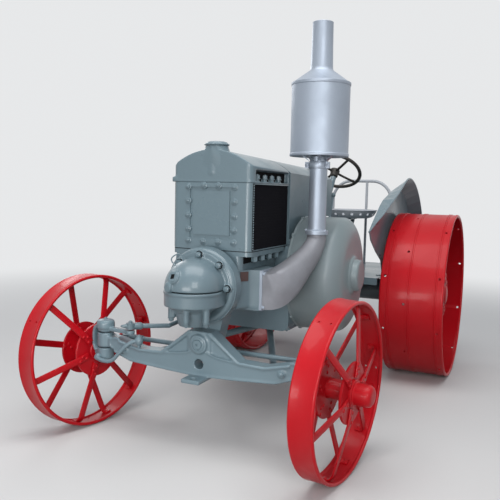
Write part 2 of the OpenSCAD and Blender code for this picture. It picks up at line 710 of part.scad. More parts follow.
module gearbox() color(grey_green) placed() difference() {
    union() {
        round_bar_y(gearbox_hw, crankcase_y1, gearbox_y1, gearbox_z0, gearbox_z1, 35);
        translate([0, drop_y, drop_z]) rod_x(42, -gearbox_hw - 36, -gearbox_hw + 60);
    }
    translate([0, drop_y, drop_z]) rod_x(18 + pin_gap, -gearbox_hw - 60, -gearbox_hw + 24);
}
rear_inner_x = rear_outer_x - rear_rim_w;
module axle_housing() translate([0, wheelbase, rear_r]) {
    rod_x(housing_r + 40, gearbox_hw, gearbox_hw + 40);
    rod_x(housing_r, gearbox_hw, rear_inner_x - 8);
    rod_x(rear_shaft_r, gearbox_hw, rear_outer_x - 76);
}
module axle_housing_left() color(grey_green) placed() axle_housing();
module axle_housing_right() color(grey_green) placed() mirror([1, 0, 0]) axle_housing();

module rear_wheel() translate([0, wheelbase, rear_r]) difference() {
    hub_x0 = rear_inner_x + 4;
    hub_x1 = rear_outer_x - 70;
    union() {
        translate([rear_inner_x, 0, 0]) rotate([0, 90, 0]) rotate_extrude($fn = 128) {
            translate([rear_r - rear_rim_t, 6]) square([rear_rim_t, rear_rim_w - 12]);
            for (x = [11, rear_rim_w - 11]) translate([rear_r - 11, x]) circle(11);
            translate([rear_r - rear_rim_t - 6, rear_rim_w / 2 - 30]) square([10, 60]);
        }
        rod_x(rear_hub_r, hub_x0, hub_x1 + 20);
        for (x = [hub_x0 + 20, hub_x1 - 20]) rod_x(rear_flange_r, x - 9, x + 9);
        for (i = [0:rear_spokes - 1], row = [0, 1])
            rotate([(i + row / 2) * 360 / rear_spokes, 0, 0]) {
                foot_x = row == 0 ? hub_x0 + 20 : hub_x1 - 20;
                rim_x = (rear_inner_x + rear_outer_x) / 2 + (row == 0 ? -25 : 25);
                reach = rear_r - rear_rim_t / 2 - rear_hub_r;
                lean = atan2(rim_x - foot_x, reach);
                translate([foot_x, 0, rear_hub_r]) rotate([0, lean, 0])
                    translate([-7, -38, -6]) cube([14, 76, reach / cos(lean)]);
            }
    }
    rod_x(rear_shaft_r + pin_gap, hub_x0 - 1, hub_x1 - 1);
}
module rear_wheel_left() color(wheel_red) placed() rear_wheel();
module rear_wheel_right() color(wheel_red) placed() mirror([1, 0, 0]) rear_wheel();

// A fender in its own frame: inner face on x = 0, rear axle at the origin. Each row is
// y, height of the side sheet's top edge, width of the top sheet, height of its outer edge.
fender_low = platform_z - rear_r;
fender_rows = [
    [-740, 463, 4, 463], [-670, 508, 30, 520], [-585, 557, 50, 566], [-470, 622, 65, 624],
    [-398, 652, 80, 668], [-307, 674, 88, 708], [-245, 690, 92, 738], [-141, 716, 97, 786],
    [-60, 730, 100, 810], [20, 738, 100, 812], [100, 735, 100, 802], [180, 722, 100, 782],
    [260, 698, 100, 752], [340, 662, 100, 710], [420, 612, 100, 656], [500, 548, 100, 586],
    [560, 480, 100, 514]];
fender_rise = 4;      // how far the top sheet's inner edge stands above the side sheet's top
module fender() translate([fender_x, wheelbase, rear_r]) {
    rotate([90, 0, 90]) linear_extrude(sheet_t) polygon(concat(
        [for (r = fender_rows) [r[0], r[1]]],
        [[400, fender_low], [-330, fender_low], [-408, 257], [-558, 325], [-701, 409]]));
    // the top sheet, flared outwards over the wheel
    last = len(fender_rows) - 1;
    polyhedron(
        points = [for (r = fender_rows) each [
            [0, r[0], r[1] - sheet_t], [r[2], r[0], r[3] - sheet_t],
            [r[2], r[0], r[3]], [0, r[0], r[1] + fender_rise]]],
        faces = concat([[3, 2, 1, 0], [4 * last, 4 * last + 1, 4 * last + 2, 4 * last + 3]],
            [for (i = [0:last - 1], k = [0:3]) each [
                [4 * i + k, 4 * i + 4 + (k + 1) % 4, 4 * i + 4 + k],
                [4 * i + k, 4 * i + (k + 1) % 4, 4 * i + 4 + (k + 1) % 4]]]));
}
module fender_left() color(grey_green) placed() fender();
module fender_right() color(grey_green) placed() mirror([1, 0, 0]) fender();

module platform() color(grey_green) placed() {
    difference() {
        block([-fender_x + seat_gap, platform_y0, platform_z],
            [fender_x - seat_gap, platform_y1, platform_z + sheet_t]);
        block([-gearbox_hw - seat_gap, platform_y0 - 1, platform_z - 1],
            [gearbox_hw + seat_gap, gearbox_y1 + seat_gap, platform_z + sheet_t + 1]);
    }
    // the front lip under the toes
    left_and_right() block([gearbox_hw + 20, platform_y0, platform_z - 40],
        [fender_x - seat_gap, platform_y0 + sheet_t, platform_z]);
}

// The hoop behind the seat, with one upright inside it
module guard_rail() color(grey_green) placed() translate([rail_x, rail_y, 0]) {
    foot = platform_z + sheet_t;
    left_and_right() {
        rod([rail_hw, 0, foot], [rail_hw, 0, rail_z - rail_corner], rail_r);
        translate([rail_hw - rail_corner, 0, rail_z - rail_corner]) rotate([90, 0, 0])
            rotate_extrude(angle = 90) translate([rail_corner, 0]) circle(rail_r);
    }
    rod([rail_hw - rail_corner, 0, rail_z], [rail_corner - rail_hw, 0, rail_z], rail_r);
    rod([40, 0, foot], [40, 0, rail_z], rail_r - 2);
}

seat_y = 2090;
seat_lip = 48;
seat_slope = 62;
module seat() color(grey_green) placed() translate([wheel_x, seat_y, seat_z]) difference() {
    rotate_extrude() polygon([[0, 0], [seat_r - seat_slope, 0], [seat_r - 16, seat_lip - 18],
        [seat_r, seat_lip], [seat_r, seat_lip + sheet_t], [seat_r - 8, seat_lip + sheet_t],
        [seat_r - 20, seat_lip - 14], [seat_r - seat_slope - 3, sheet_t], [0, sheet_t]]);
    for (i = [0:seat_holes - 1]) rotate([0, 0, (i + 0.5) * 360 / seat_holes])
        translate([seat_r - seat_slope / 2 - 8, 0, -1]) cylinder(r = 9, h = seat_lip);
}
spring_y = gearbox_y1 - 80;
module seat_spring() color(grey_green) placed() {
    block([wheel_x - 25, seat_y - 60, seat_z - 12], [wheel_x + 25, seat_y + 110, seat_z]);
    rod([wheel_x, seat_y + 80, seat_z - 18], [wheel_x, spring_y, gearbox_z1 + 20], 16);
    block([wheel_x - 40, spring_y - 50, gearbox_z1], [wheel_x + 40, spring_y + 50, gearbox_z1 + 24]);
}

module control_levers() color(grey_green) placed() {
    levers = [  // foot x, foot y, knob x, knob y, knob z
        [120, 1500, 130, 1602, 1247],
        [-70, 1440, -90, 1530, 1240]];
    for (v = levers) {
        rod([v[0], v[1], gearbox_z1 + 8], [v[2], v[3], v[4]], 9);
        translate([v[0], v[1], gearbox_z1]) cylinder(r = 24, h = 16);
        translate([v[2], v[3], v[4]]) sphere(r = 18);
    }
}

module drawbar() color(grey_green) placed() difference() {
    union() {
        block([-150, gearbox_y1, drawbar_z - 30], [150, gearbox_y1 + 26, drawbar_z + 150]);
        block([-45, gearbox_y1 + 20, drawbar_z], [45, drawbar_y1, drawbar_z + drawbar_t]);
    }
    translate([0, drawbar_y1 - 35, drawbar_z - 1]) cylinder(r = draw_hole_r, h = drawbar_t + 2);
}

crankcase();
cylinder_block();  // cylinder
head_cover_upper();
head_cover_lower();
radiator_case();
radiator_core_left();
radiator_core_right();
radiator_top_tank();
radiator_lower_tank();
filler_cap();
fuel_tank();
flywheel_cover();
belt_pulley();
exhaust_duct();
exhaust_pipe();
muffler();
axle_bracket();
axle_beam();
knuckle_left();
knuckle_right();
front_wheel_left();
front_wheel_right();
tie_rod();
drag_link();
drop_arm();
radius_rod_left();
radius_rod_right();
radius_ball();
steering_column();
steering_wheel();
gearbox();
axle_housing_left();
axle_housing_right();
rear_wheel_left();
rear_wheel_right();
fender_left();
fender_right();
platform();
guard_rail();
seat();
seat_spring();
control_levers();
drawbar();
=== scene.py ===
"""Vintage tractor on steel wheels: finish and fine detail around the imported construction."""

import json
import math

import bmesh
import bpy
from bpy.props import FloatProperty, FloatVectorProperty, PointerProperty
from mathutils import Matrix, Vector


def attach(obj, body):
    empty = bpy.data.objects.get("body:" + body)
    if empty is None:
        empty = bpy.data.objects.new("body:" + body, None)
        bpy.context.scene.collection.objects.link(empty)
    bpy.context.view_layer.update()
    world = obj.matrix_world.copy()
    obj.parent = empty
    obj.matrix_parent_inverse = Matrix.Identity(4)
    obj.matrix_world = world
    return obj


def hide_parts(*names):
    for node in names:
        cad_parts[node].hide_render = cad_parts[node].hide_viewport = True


bl_info = {
    "name": "Vintage Steel-Wheeled Tractor",
    "version": (1, 0, 0),
    "blender": (4, 5, 0),
    "location": "View3D > Sidebar > Tractor",
    "description": "Dresses the tractor's construction with its paint, castings and fittings",
    "category": "Object",
}

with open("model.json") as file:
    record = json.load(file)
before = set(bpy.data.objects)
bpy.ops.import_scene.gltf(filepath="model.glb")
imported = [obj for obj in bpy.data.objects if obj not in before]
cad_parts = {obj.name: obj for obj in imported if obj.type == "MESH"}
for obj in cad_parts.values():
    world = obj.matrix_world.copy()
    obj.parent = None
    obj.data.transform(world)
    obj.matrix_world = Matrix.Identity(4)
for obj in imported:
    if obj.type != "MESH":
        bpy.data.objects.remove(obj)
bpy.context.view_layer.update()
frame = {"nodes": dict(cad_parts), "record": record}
NODES = frame["nodes"]

# The front axle's place in the frame; pieces are drawn with y counted from it
AXLE_Y = -1.0285
SIDES = (("left", 1), ("right", -1))
LEFT, RIGHT, FRONT, BACK = (1, 0, 0), (-1, 0, 0), (0, -1, 0), (0, 1, 0)
UP, DOWN = (0, 0, 1), (0, 0, -1)
# In degrees: corners that shade sharp, that are broken, and that count as flat
SHARP_ANGLE, BROKEN_ANGLE, FLAT_ANGLE = 38, 32, 0.8


# Sizes and colours that a user would change

class TractorPaints(bpy.types.PropertyGroup):
    body: FloatVectorProperty(
        name="Body paint", description="Blue-grey enamel of the body", subtype="COLOR",
        size=3, min=0, max=1, default=(0.128, 0.184, 0.212))
    wheel: FloatVectorProperty(
        name="Wheel paint", description="Red enamel of the wheels", subtype="COLOR",
        size=3, min=0, max=1, default=(0.46, 0.004, 0.010))
    silver: FloatVectorProperty(
        name="Exhaust paint", description="Aluminium paint of the exhaust", subtype="COLOR",
        size=3, min=0, max=1, default=(0.325, 0.370, 0.435))
    core: FloatVectorProperty(
        name="Core black", description="Matt black of the radiator cores", subtype="COLOR",
        size=3, min=0, max=1, default=(0.006, 0.006, 0.008))


class TractorSizes(bpy.types.PropertyGroup):
    edge: FloatProperty(
        name="Edge rounding", description="Radius of the castings' broken edges",
        subtype="DISTANCE", unit="LENGTH", default=0.003, min=0.0005, max=0.01)
    bolt: FloatProperty(
        name="Bolt head", description="Radius of a common hexagon head",
        subtype="DISTANCE", unit="LENGTH", default=0.0095, min=0.005, max=0.015)
    rivet: FloatProperty(
        name="Rivet head", description="Radius of the wheels' rivet heads",
        subtype="DISTANCE", unit="LENGTH", default=0.0085, min=0.005, max=0.012)


# Shader nodes

def feed(tree, socket, value):
    """Links an output to a socket, or sets the socket's own value."""
    if isinstance(value, bpy.types.NodeSocket):
        tree.links.new(value, socket)
    else:
        socket.default_value = value


def add_node(tree, kind, inputs=(), **settings):
    """A node with its settings, and its inputs linked or set from a table."""
    node = tree.nodes.new(kind)
    for key, value in settings.items():
        setattr(node, key, value)
    for key, value in dict(inputs).items():
        feed(tree, node.inputs[key], value)
    return node


def combine(tree, operation, first, second):
    return add_node(tree, "ShaderNodeMath", {0: first, 1: second},
                    operation=operation).outputs["Value"]


def ramp(tree, value, low, high, **settings):
    """Goes from 0 where the value is low to 1 where it is high."""
    return add_node(tree, "ShaderNodeMapRange", {
        "Value": value, "From Min": low, "From Max": high}, **settings).outputs["Result"]


def noise(tree, **inputs):
    """Noise over the object's own coordinates."""
    place = add_node(tree, "ShaderNodeTexCoord").outputs["Object"]
    return add_node(tree, "ShaderNodeTexNoise", {"Vector": place, **inputs}).outputs["Fac"]


def blend(tree, share, first, second):
    return add_node(tree, "ShaderNodeMix", {0: share, 6: first, 7: second},
                    data_type="RGBA").outputs[2]


def laid_over(tree, given, mask, colour):
    """Lays a colour over the given one by a mask and the group's own amount."""
    share = combine(tree, "MULTIPLY", mask, given["Amount"])
    return {"Colour": blend(tree, share, given["Colour"], colour), "Mask": share}


def mottle(tree, given):
    """Slow change of a colour over a surface."""
    patches = ramp(tree, noise(tree, Scale=given["Scale"], Detail=6.0, Roughness=0.6), 0.35, 0.7)
    return {**laid_over(tree, given, patches, given["Other Colour"]), "Mask": patches}


def dust(tree, given):
    """Dust that lies on what faces up."""
    normal = add_node(tree, "ShaderNodeNewGeometry").outputs["Normal"]
    height = add_node(tree, "ShaderNodeSeparateXYZ", {0: normal}).outputs["Z"]
    broken = ramp(tree, noise(tree, Scale=14.0, Detail=8.0, Roughness=0.7), 0.4, 0.75)
    lies = combine(tree, "MULTIPLY", ramp(tree, height, 0.6, 1.0), broken)
    return laid_over(tree, given, lies, given["Dust Colour"])


def chips(tree, given):
    """Chips and rubbed spots where another layer shows through the paint."""
    fleck = ramp(tree, noise(tree, Scale=given["Scale"], Detail=9.0, Roughness=0.75), 0.66, 0.72)
    field = ramp(tree, noise(tree, Scale=3.5, Detail=2.0), 0.48, 0.68)
    return laid_over(tree, given, combine(tree, "MULTIPLY", fleck, field), given["Under Colour"])


def cast_skin(tree, given):
    """Height of a painted sand casting: soft waves with a fine grain on top."""
    grain = noise(tree, Scale=given["Grain Scale"], Detail=2.0)
    fine = combine(tree, "MULTIPLY", grain, given["Grain"])
    wave = noise(tree, Scale=given["Wave Scale"], Detail=3.0)
    return {"Height": combine(tree, "ADD", wave, fine)}


RUST_BROWN = (0.10, 0.07, 0.05, 1)
MIDDLE_GREY = (0.5, 0.5, 0.5, 1)
EFFECTS = (  # name, the function that builds it, its inputs
    ("Mottle", mottle, {"Colour": MIDDLE_GREY, "Other Colour": (0.4, 0.4, 0.4, 1),
                        "Scale": 4.0, "Amount": 0.5}),
    ("Dust", dust, {"Colour": MIDDLE_GREY, "Dust Colour": (0.30, 0.27, 0.22, 1), "Amount": 0.3}),
    ("Chips", chips, {"Colour": MIDDLE_GREY, "Under Colour": RUST_BROWN,
                      "Scale": 30.0, "Amount": 0.3}),
    ("Cast Skin", cast_skin, {"Wave Scale": 12.0, "Grain Scale": 160.0, "Grain": 0.3}))


def effect_group(name, build, inputs):
    """A shader node group; its colours are told from its values by their type or name."""
    group = bpy.data.node_groups.new(name, "ShaderNodeTree")
    for label, value in inputs.items():
        kind = "NodeSocketColor" if isinstance(value, tuple) else "NodeSocketFloat"
        socket = group.interface.new_socket(label, in_out="INPUT", socket_type=kind)
        socket.default_value = value
    results = build(group, group.nodes.new("NodeGroupInput").outputs)
    for label in results:
        kind = "NodeSocketColor" if label == "Colour" else "NodeSocketFloat"
        group.interface.new_socket(label, in_out="OUTPUT", socket_type=kind)
    add_node(group, "NodeGroupOutput", results)


def effect(tree, name, **inputs):
    """The outputs of an effect's node in a material."""
    inputs = {key.replace("_", " "): value for key, value in inputs.items()}
    return add_node(tree, "ShaderNodeGroup", inputs,
                    node_tree=bpy.data.node_groups[name]).outputs


def shade(colour, factor=1.0):
    return (colour[0] * factor, colour[1] * factor, colour[2] * factor, 1.0)


def painted(name, colour, other, roughness, metallic=0.0, coat=0.0, dust=0.3, chips=0.0,
            under=RUST_BROWN, wave=12.0, relief=0.0015, patch=4.0, specular=0.5):
    """An enamel or metal finish: mottled colour, chips, dust on top, cast relief below."""
    material = bpy.data.materials.new(name)
    material.use_nodes = True
    tree = material.node_tree
    base = effect(tree, "Mottle", Colour=shade(colour), Other_Colour=shade(other), Scale=patch)
    worn = effect(tree, "Chips", Colour=base["Colour"], Under_Colour=under, Amount=chips)
    dusty = effect(tree, "Dust", Colour=worn["Colour"], Amount=dust)
    skin = effect(tree, "Cast Skin", Wave_Scale=wave)
    rough = add_node(tree, "ShaderNodeMapRange", {
        "Value": base["Mask"], "To Min": roughness, "To Max": min(1.0, roughness + 0.2)})
    bump = add_node(tree, "ShaderNodeBump", {
        "Strength": 1.0, "Distance": relief, "Height": skin["Height"]})
    for label, value in (
            ("Base Color", dusty["Colour"]), ("Roughness", rough.outputs["Result"]),
            ("Normal", bump.outputs["Normal"]), ("Metallic", metallic), ("Coat Weight", coat),
            ("Coat Roughness", 0.1), ("Specular IOR Level", specular)):
        feed(tree, tree.nodes["Principled BSDF"].inputs[label], value)


# Mesh helpers. Every place is in metres, with y counted from the front axle.

def at(x, y, z):
    return Vector((x, y + AXLE_Y, z))


def along(place, direction, spin=0.0):
    """A frame at a place whose Z axis points along a direction."""
    turn = Vector(direction).to_track_quat("Z", "Y").to_matrix().to_4x4()
    return Matrix.Translation(place) @ turn @ Matrix.Rotation(spin, 4, "Z")


def standing(x, y, z=0.0):
    """A frame at a place, with its axes as the world's."""
    return Matrix.Translation(at(x, y, z))


def circle_points(radius, steps, start=0.0):
    return [(radius * math.cos(start + math.tau * i / steps),
             radius * math.sin(start + math.tau * i / steps)) for i in range(steps)]


def between(radius, steps):
    """Points on a circle, each halfway past the usual one."""
    return circle_points(radius, steps, math.pi / steps)


def on_arc(centre, radius, angles):
    """Rows on a circle at angles in degrees."""
    return [(centre[0] + radius * math.cos(math.radians(a)),
             centre[1] + radius * math.sin(math.radians(a))) for a in angles]


def rounded_rect(width, length, radius, steps=4):
    rows = []
    for sx, sy, start in ((1, 1, 0), (-1, 1, 90), (-1, -1, 180), (1, -1, 270)):
        rows += on_arc((sx * (width / 2 - radius), sy * (length / 2 - radius)), radius,
                       [start + 90 * i / steps for i in range(steps + 1)])
    return rows


def join_rings(bm, low, high):
    count = len(low)
    for i in range(count):
        bm.faces.new((low[i], low[(i + 1) % count], high[(i + 1) % count], high[i]))


def loft(bm, rings, loop=False):
    """A solid through rings of equal length, with flat ends or closed on itself."""
    rows = [[bm.verts.new(point) for point in ring] for ring in rings]
    for low, high in zip(rows, rows[1:]):
        join_rings(bm, low, high)
    if loop:
        join_rings(bm, rows[-1], rows[0])
    else:
        bm.faces.new(rows[0][::-1])
        bm.faces.new(rows[-1])


def turned(bm, profile, place=Matrix(), steps=48, loop=False):
    """Turns rows of radius and height about the frame's Z axis."""
    rows = []
    for radius, height in profile:
        ring = circle_points(radius, steps) if radius > 1e-5 else [(0, 0)]
        rows.append([bm.verts.new(place @ Vector((x, y, height))) for x, y in ring])
    for low, high in zip(rows, rows[1:] + rows[:1] if loop else rows[1:]):
        if len(low) == len(high):
            join_rings(bm, low, high)
        else:
            fan, tip = (low, high[0]) if len(high) == 1 else (high, low[0])
            for i in range(steps):
                bm.faces.new((fan[i], fan[(i + 1) % steps], tip))
    if not loop:
        for row in (rows[0], rows[-1]):
            if len(row) > 1:
                bm.faces.new(row)


def rod(bm, radius, low, high, place, steps):
    turned(bm, [(radius, low), (radius, high)], place, steps)


def prism(bm, outline, place, thickness):
    """A flat plate with an outline in the frame's plane."""
    loft(bm, [[place @ Vector((x, y, h)) for x, y in outline] for h in (0, thickness)])


def slab(bm, low, high):
    """A box between two corners."""
    loft(bm, [[Vector((x, y, z)) for x, y in ((low[0], low[1]), (high[0], low[1]),
                                              (high[0], high[1]), (low[0], high[1]))]
              for z in (low[2], high[2])])


def side_slab(bm, side, low, high):
    """A box between two places of the left side, mirrored where side is -1."""
    near, far = sorted((side * low[0], side * high[0]))
    slab(bm, at(near, *low[1:]), at(far, *high[1:]))


def swept(bm, points, section, side=None):
    """Carries a section along points. side keeps the section's first axis level with it."""
    rings = []
    normal = None
    for i, point in enumerate(points):
        tangent = (points[min(i + 1, len(points) - 1)] - points[max(i - 1, 0)]).normalized()
        if side is not None:
            normal = Vector(side)
        elif normal is None:
            normal = tangent.orthogonal()
        normal = (normal - normal.dot(tangent) * tangent).normalized()
        across = tangent.cross(normal)
        rings.append([point + u * normal + v * across for u, v in section])
    loft(bm, rings)


def tube(bm, points, radius, sides=12):
    swept(bm, points, circle_points(radius, sides))


def smooth_path(points, steps=6):
    """A rounder path through the points."""
    ends = [points[0]] + list(points) + [points[-1]]
    rows = []
    for a, b, c, d in zip(ends, ends[1:], ends[2:], ends[3:]):
        for k in range(steps):
            t = k / steps
            rows.append(0.5 * ((2 * b) + (c - a) * t + (2 * a - 5 * b + 4 * c - d) * t ** 2
                               + (3 * b - a - 3 * c + d) * t ** 3))
    return rows + [points[-1]]


def bolt(bm, place, direction, radius=None, height=None, washer=True):
    """A hexagon head on its washer, with the bolt's end showing."""
    radius = radius or bpy.context.scene.tractor_sizes.bolt
    height = height or radius * 0.75
    head = along(place, direction, 0.3)
    foot = -0.001
    if washer:
        rim = radius * 1.3
        turned(bm, [(rim, foot), (rim, 0.0018), (rim - 0.0008, 0.0026)], head, 20)
        foot = 0.002
    turned(bm, [(radius, foot), (radius, height - 0.0012), (radius - 0.0018, height)], head, 6)
    end = radius * 0.5
    turned(bm, [(end, height - 0.001), (end, height + 0.0025), (end - 0.0012, height + 0.0035)],
           head, 12)


def bolts(bm, places, direction, **sizes):
    for place in places:
        bolt(bm, place, direction, **sizes)


def rivet(bm, place, direction, radius=None, height=None):
    radius = radius or bpy.context.scene.tractor_sizes.rivet
    height = height or radius * 0.55
    dome = [(radius * math.cos(math.radians(a)), height * math.sin(math.radians(a)))
            for a in (30, 60)]
    turned(bm, [(radius, -0.002), (radius, 0)] + dome + [(0, height)],
           along(place, direction), 14)


def piece(name, bm, material, body, slot, replaces=(), edge=0.0, sharp=SHARP_ANGLE, place=None):
    """Makes the object, finishes its shading and fastens it to its body."""
    if place is not None:
        bmesh.ops.transform(bm, matrix=place, verts=bm.verts)
    bmesh.ops.recalc_face_normals(bm, faces=bm.faces)
    mesh = bpy.data.meshes.new(name)
    bm.to_mesh(mesh)
    bm.free()
    mesh.polygons.foreach_set("use_smooth", [True] * len(mesh.polygons))
    mesh.set_sharp_from_angle(angle=math.radians(sharp))
    mesh.materials.append(bpy.data.materials[material])
    obj = bpy.data.objects.new(name, mesh)
    bpy.context.scene.collection.objects.link(obj)
    if edge:
        break_edges(obj, edge)
    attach(obj, body)
    if replaces:
        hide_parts(*replaces)
    return obj


def modify(obj, name, kind, **settings):
    modifier = obj.modifiers.new(name, kind)
    for key, value in settings.items():
        setattr(modifier, key, value)


def break_edges(obj, width):
    modify(obj, "Broken edges", "BEVEL", width=width, segments=2, limit_method="ANGLE",
           angle_limit=math.radians(BROKEN_ANGLE), harden_normals=True)


def soften(obj, width):
    """Breaks the sharp edges of a CAD node and shades the rest smooth."""
    modify(obj, "Flat faces", "DECIMATE", decimate_type="DISSOLVE",
           angle_limit=math.radians(FLAT_ANGLE))
    break_edges(obj, width)
    for face in obj.data.polygons:
        face.use_smooth = True


def casting(name, node, bm, material, body, slot, grain_size, passes):
    """A casting: a CAD node's solid and its added bosses, run together and rounded."""
    bm.from_mesh(NODES[node].data)
    obj = piece(name, bm, material, body, slot, replaces=[node], sharp=180)
    modify(obj, "Run together", "REMESH", mode="VOXEL", voxel_size=grain_size,
           use_smooth_shade=True)
    modify(obj, "Rounded", "SMOOTH", factor=0.5, iterations=passes)


def cut_holes(obj, cutter):
    """Cuts one mesh out of a piece and drops the cutter."""
    mesh = bpy.data.meshes.new("Cutter")
    bmesh.ops.recalc_face_normals(cutter, faces=cutter.faces)
    cutter.to_mesh(mesh)
    cutter.free()
    tool = bpy.data.objects.new("Cutter", mesh)
    bpy.context.scene.collection.objects.link(tool)
    modify(obj, "Holes", "BOOLEAN", operation="DIFFERENCE", solver="EXACT", object=tool)
    graph = bpy.context.evaluated_depsgraph_get()
    result = bpy.data.meshes.new_from_object(obj.evaluated_get(graph))
    obj.modifiers.clear()
    obj.data = result
    bpy.data.objects.remove(tool)
    obj.data.set_sharp_from_angle(angle=math.radians(SHARP_ANGLE))


# Material, body and slot of the pieces that don't move
GREY = ("Grey Enamel", "chassis", "paint_grey")
SHEET = ("Grey Sheet", "chassis", "paint_grey")
# painted light: the axle's paint is the body's enamel made lighter, for the light that falls on
# the beam
AXLE = ("Lit Axle Enamel", "chassis", "paint_grey")
DUSTY = ("Dusty Enamel", "chassis", "paint_grey")
SHADOW = ("Shadow Black", "chassis", "paint_grey")
SILVER = ("Aluminium Paint", "chassis", "silver_paint")
MATERIAL_OF_SLOT = {
    "paint_grey": "Grey Enamel", "paint_red": "Red Enamel", "silver_paint": "Aluminium Paint",
    "core_black": "Core Black", "dark_steel": "Dark Steel",
}


class TRACTOR_OT_materials(bpy.types.Operator):
    """Builds the finishes and gives each CAD node its own"""
    bl_idname = "tractor.materials"
    bl_label = "Finishes"

    def execute(self, context):
        for row in EFFECTS:
            effect_group(*row)
        paint = context.scene.tractor_paints
        body, wheel, silver, core = paint.body, paint.wheel, paint.silver, paint.core
        painted("Grey Enamel", body, shade(body, 0.84), 0.28, coat=0.3, dust=0.12, chips=0.12,
                specular=0.4)
        painted("Grey Sheet", body, shade(body, 0.9), 0.26, coat=0.3, dust=0.12, chips=0.08,
                relief=0.0005, wave=6.0, specular=0.4)
        # Painted light: the body's enamel lightened by 1.28 for the front axle and its knuckles,
        # where more light falls
        painted("Lit Axle Enamel", shade(body, 1.28), shade(body, 1.05), 0.30, coat=0.3, dust=0.2,
                chips=0.12, specular=0.4)
        painted("Pale Enamel", (0.40, 0.42, 0.45), (0.33, 0.35, 0.37), 0.42, dust=0.12,
                chips=0.25, relief=0.0005, wave=8.0)
        painted("Dusty Enamel", (0.202, 0.252, 0.264), (0.192, 0.212, 0.230), 0.36, coat=0.12,
                dust=0.1, chips=0.1, relief=0.0006, wave=7.0, patch=2.5, specular=0.35)
        painted("Red Enamel", wheel, shade(wheel, 0.78), 0.30, coat=0.12, dust=0.04, chips=0.55,
                relief=0.0006, wave=9.0, under=(0.09, 0.02, 0.015, 1), specular=0.2)
        painted("Aluminium Paint", silver, shade(silver, 0.85), 0.36, metallic=0.55, dust=0.06,
                relief=0.0005, wave=20.0)
        painted("Cast Aluminium Paint", (0.215, 0.222, 0.245), (0.150, 0.150, 0.165), 0.45,
                metallic=0.35, dust=0.12, relief=0.0012, wave=16.0, patch=7.0,
                under=(0.16, 0.11, 0.07, 1), chips=0.5)
        painted("Core Black", core, shade(core, 1.6), 0.7, dust=0.0, relief=0.0003, specular=0.08)
        painted("Shadow Black", (0.012, 0.012, 0.013), (0.008, 0.008, 0.008), 0.8, dust=0.0,
                relief=0.0003, specular=0.05)
        painted("Dark Steel", (0.045, 0.042, 0.040), (0.08, 0.07, 0.06), 0.4, metallic=0.6,
                relief=0.0005)
        painted("Oxide Plate", (0.085, 0.045, 0.040), (0.05, 0.03, 0.03), 0.5, dust=0.1,
                relief=0.0004)
        for row in frame["record"]["subparts"]:
            slots = NODES[row["node"]].data.materials
            slots.clear()
            slots.append(bpy.data.materials[MATERIAL_OF_SLOT[row["material_slot"]]])
        return {"FINISHED"}


# The engine

ENGINE_Z, CRANK_Y = 0.805, 0.780
HEAD_Y, COVER_R = -0.098, 0.137


def on_dome(azimuth, elevation, lift):
    """A place over the head cover's dome and the direction outwards there."""
    a, e = math.radians(azimuth), math.radians(elevation)
    out = Vector((math.sin(a) * math.cos(e), -math.cos(a) * math.cos(e), math.sin(e)))
    return at(0, HEAD_Y, ENGINE_Z) + out * (COVER_R + lift), out


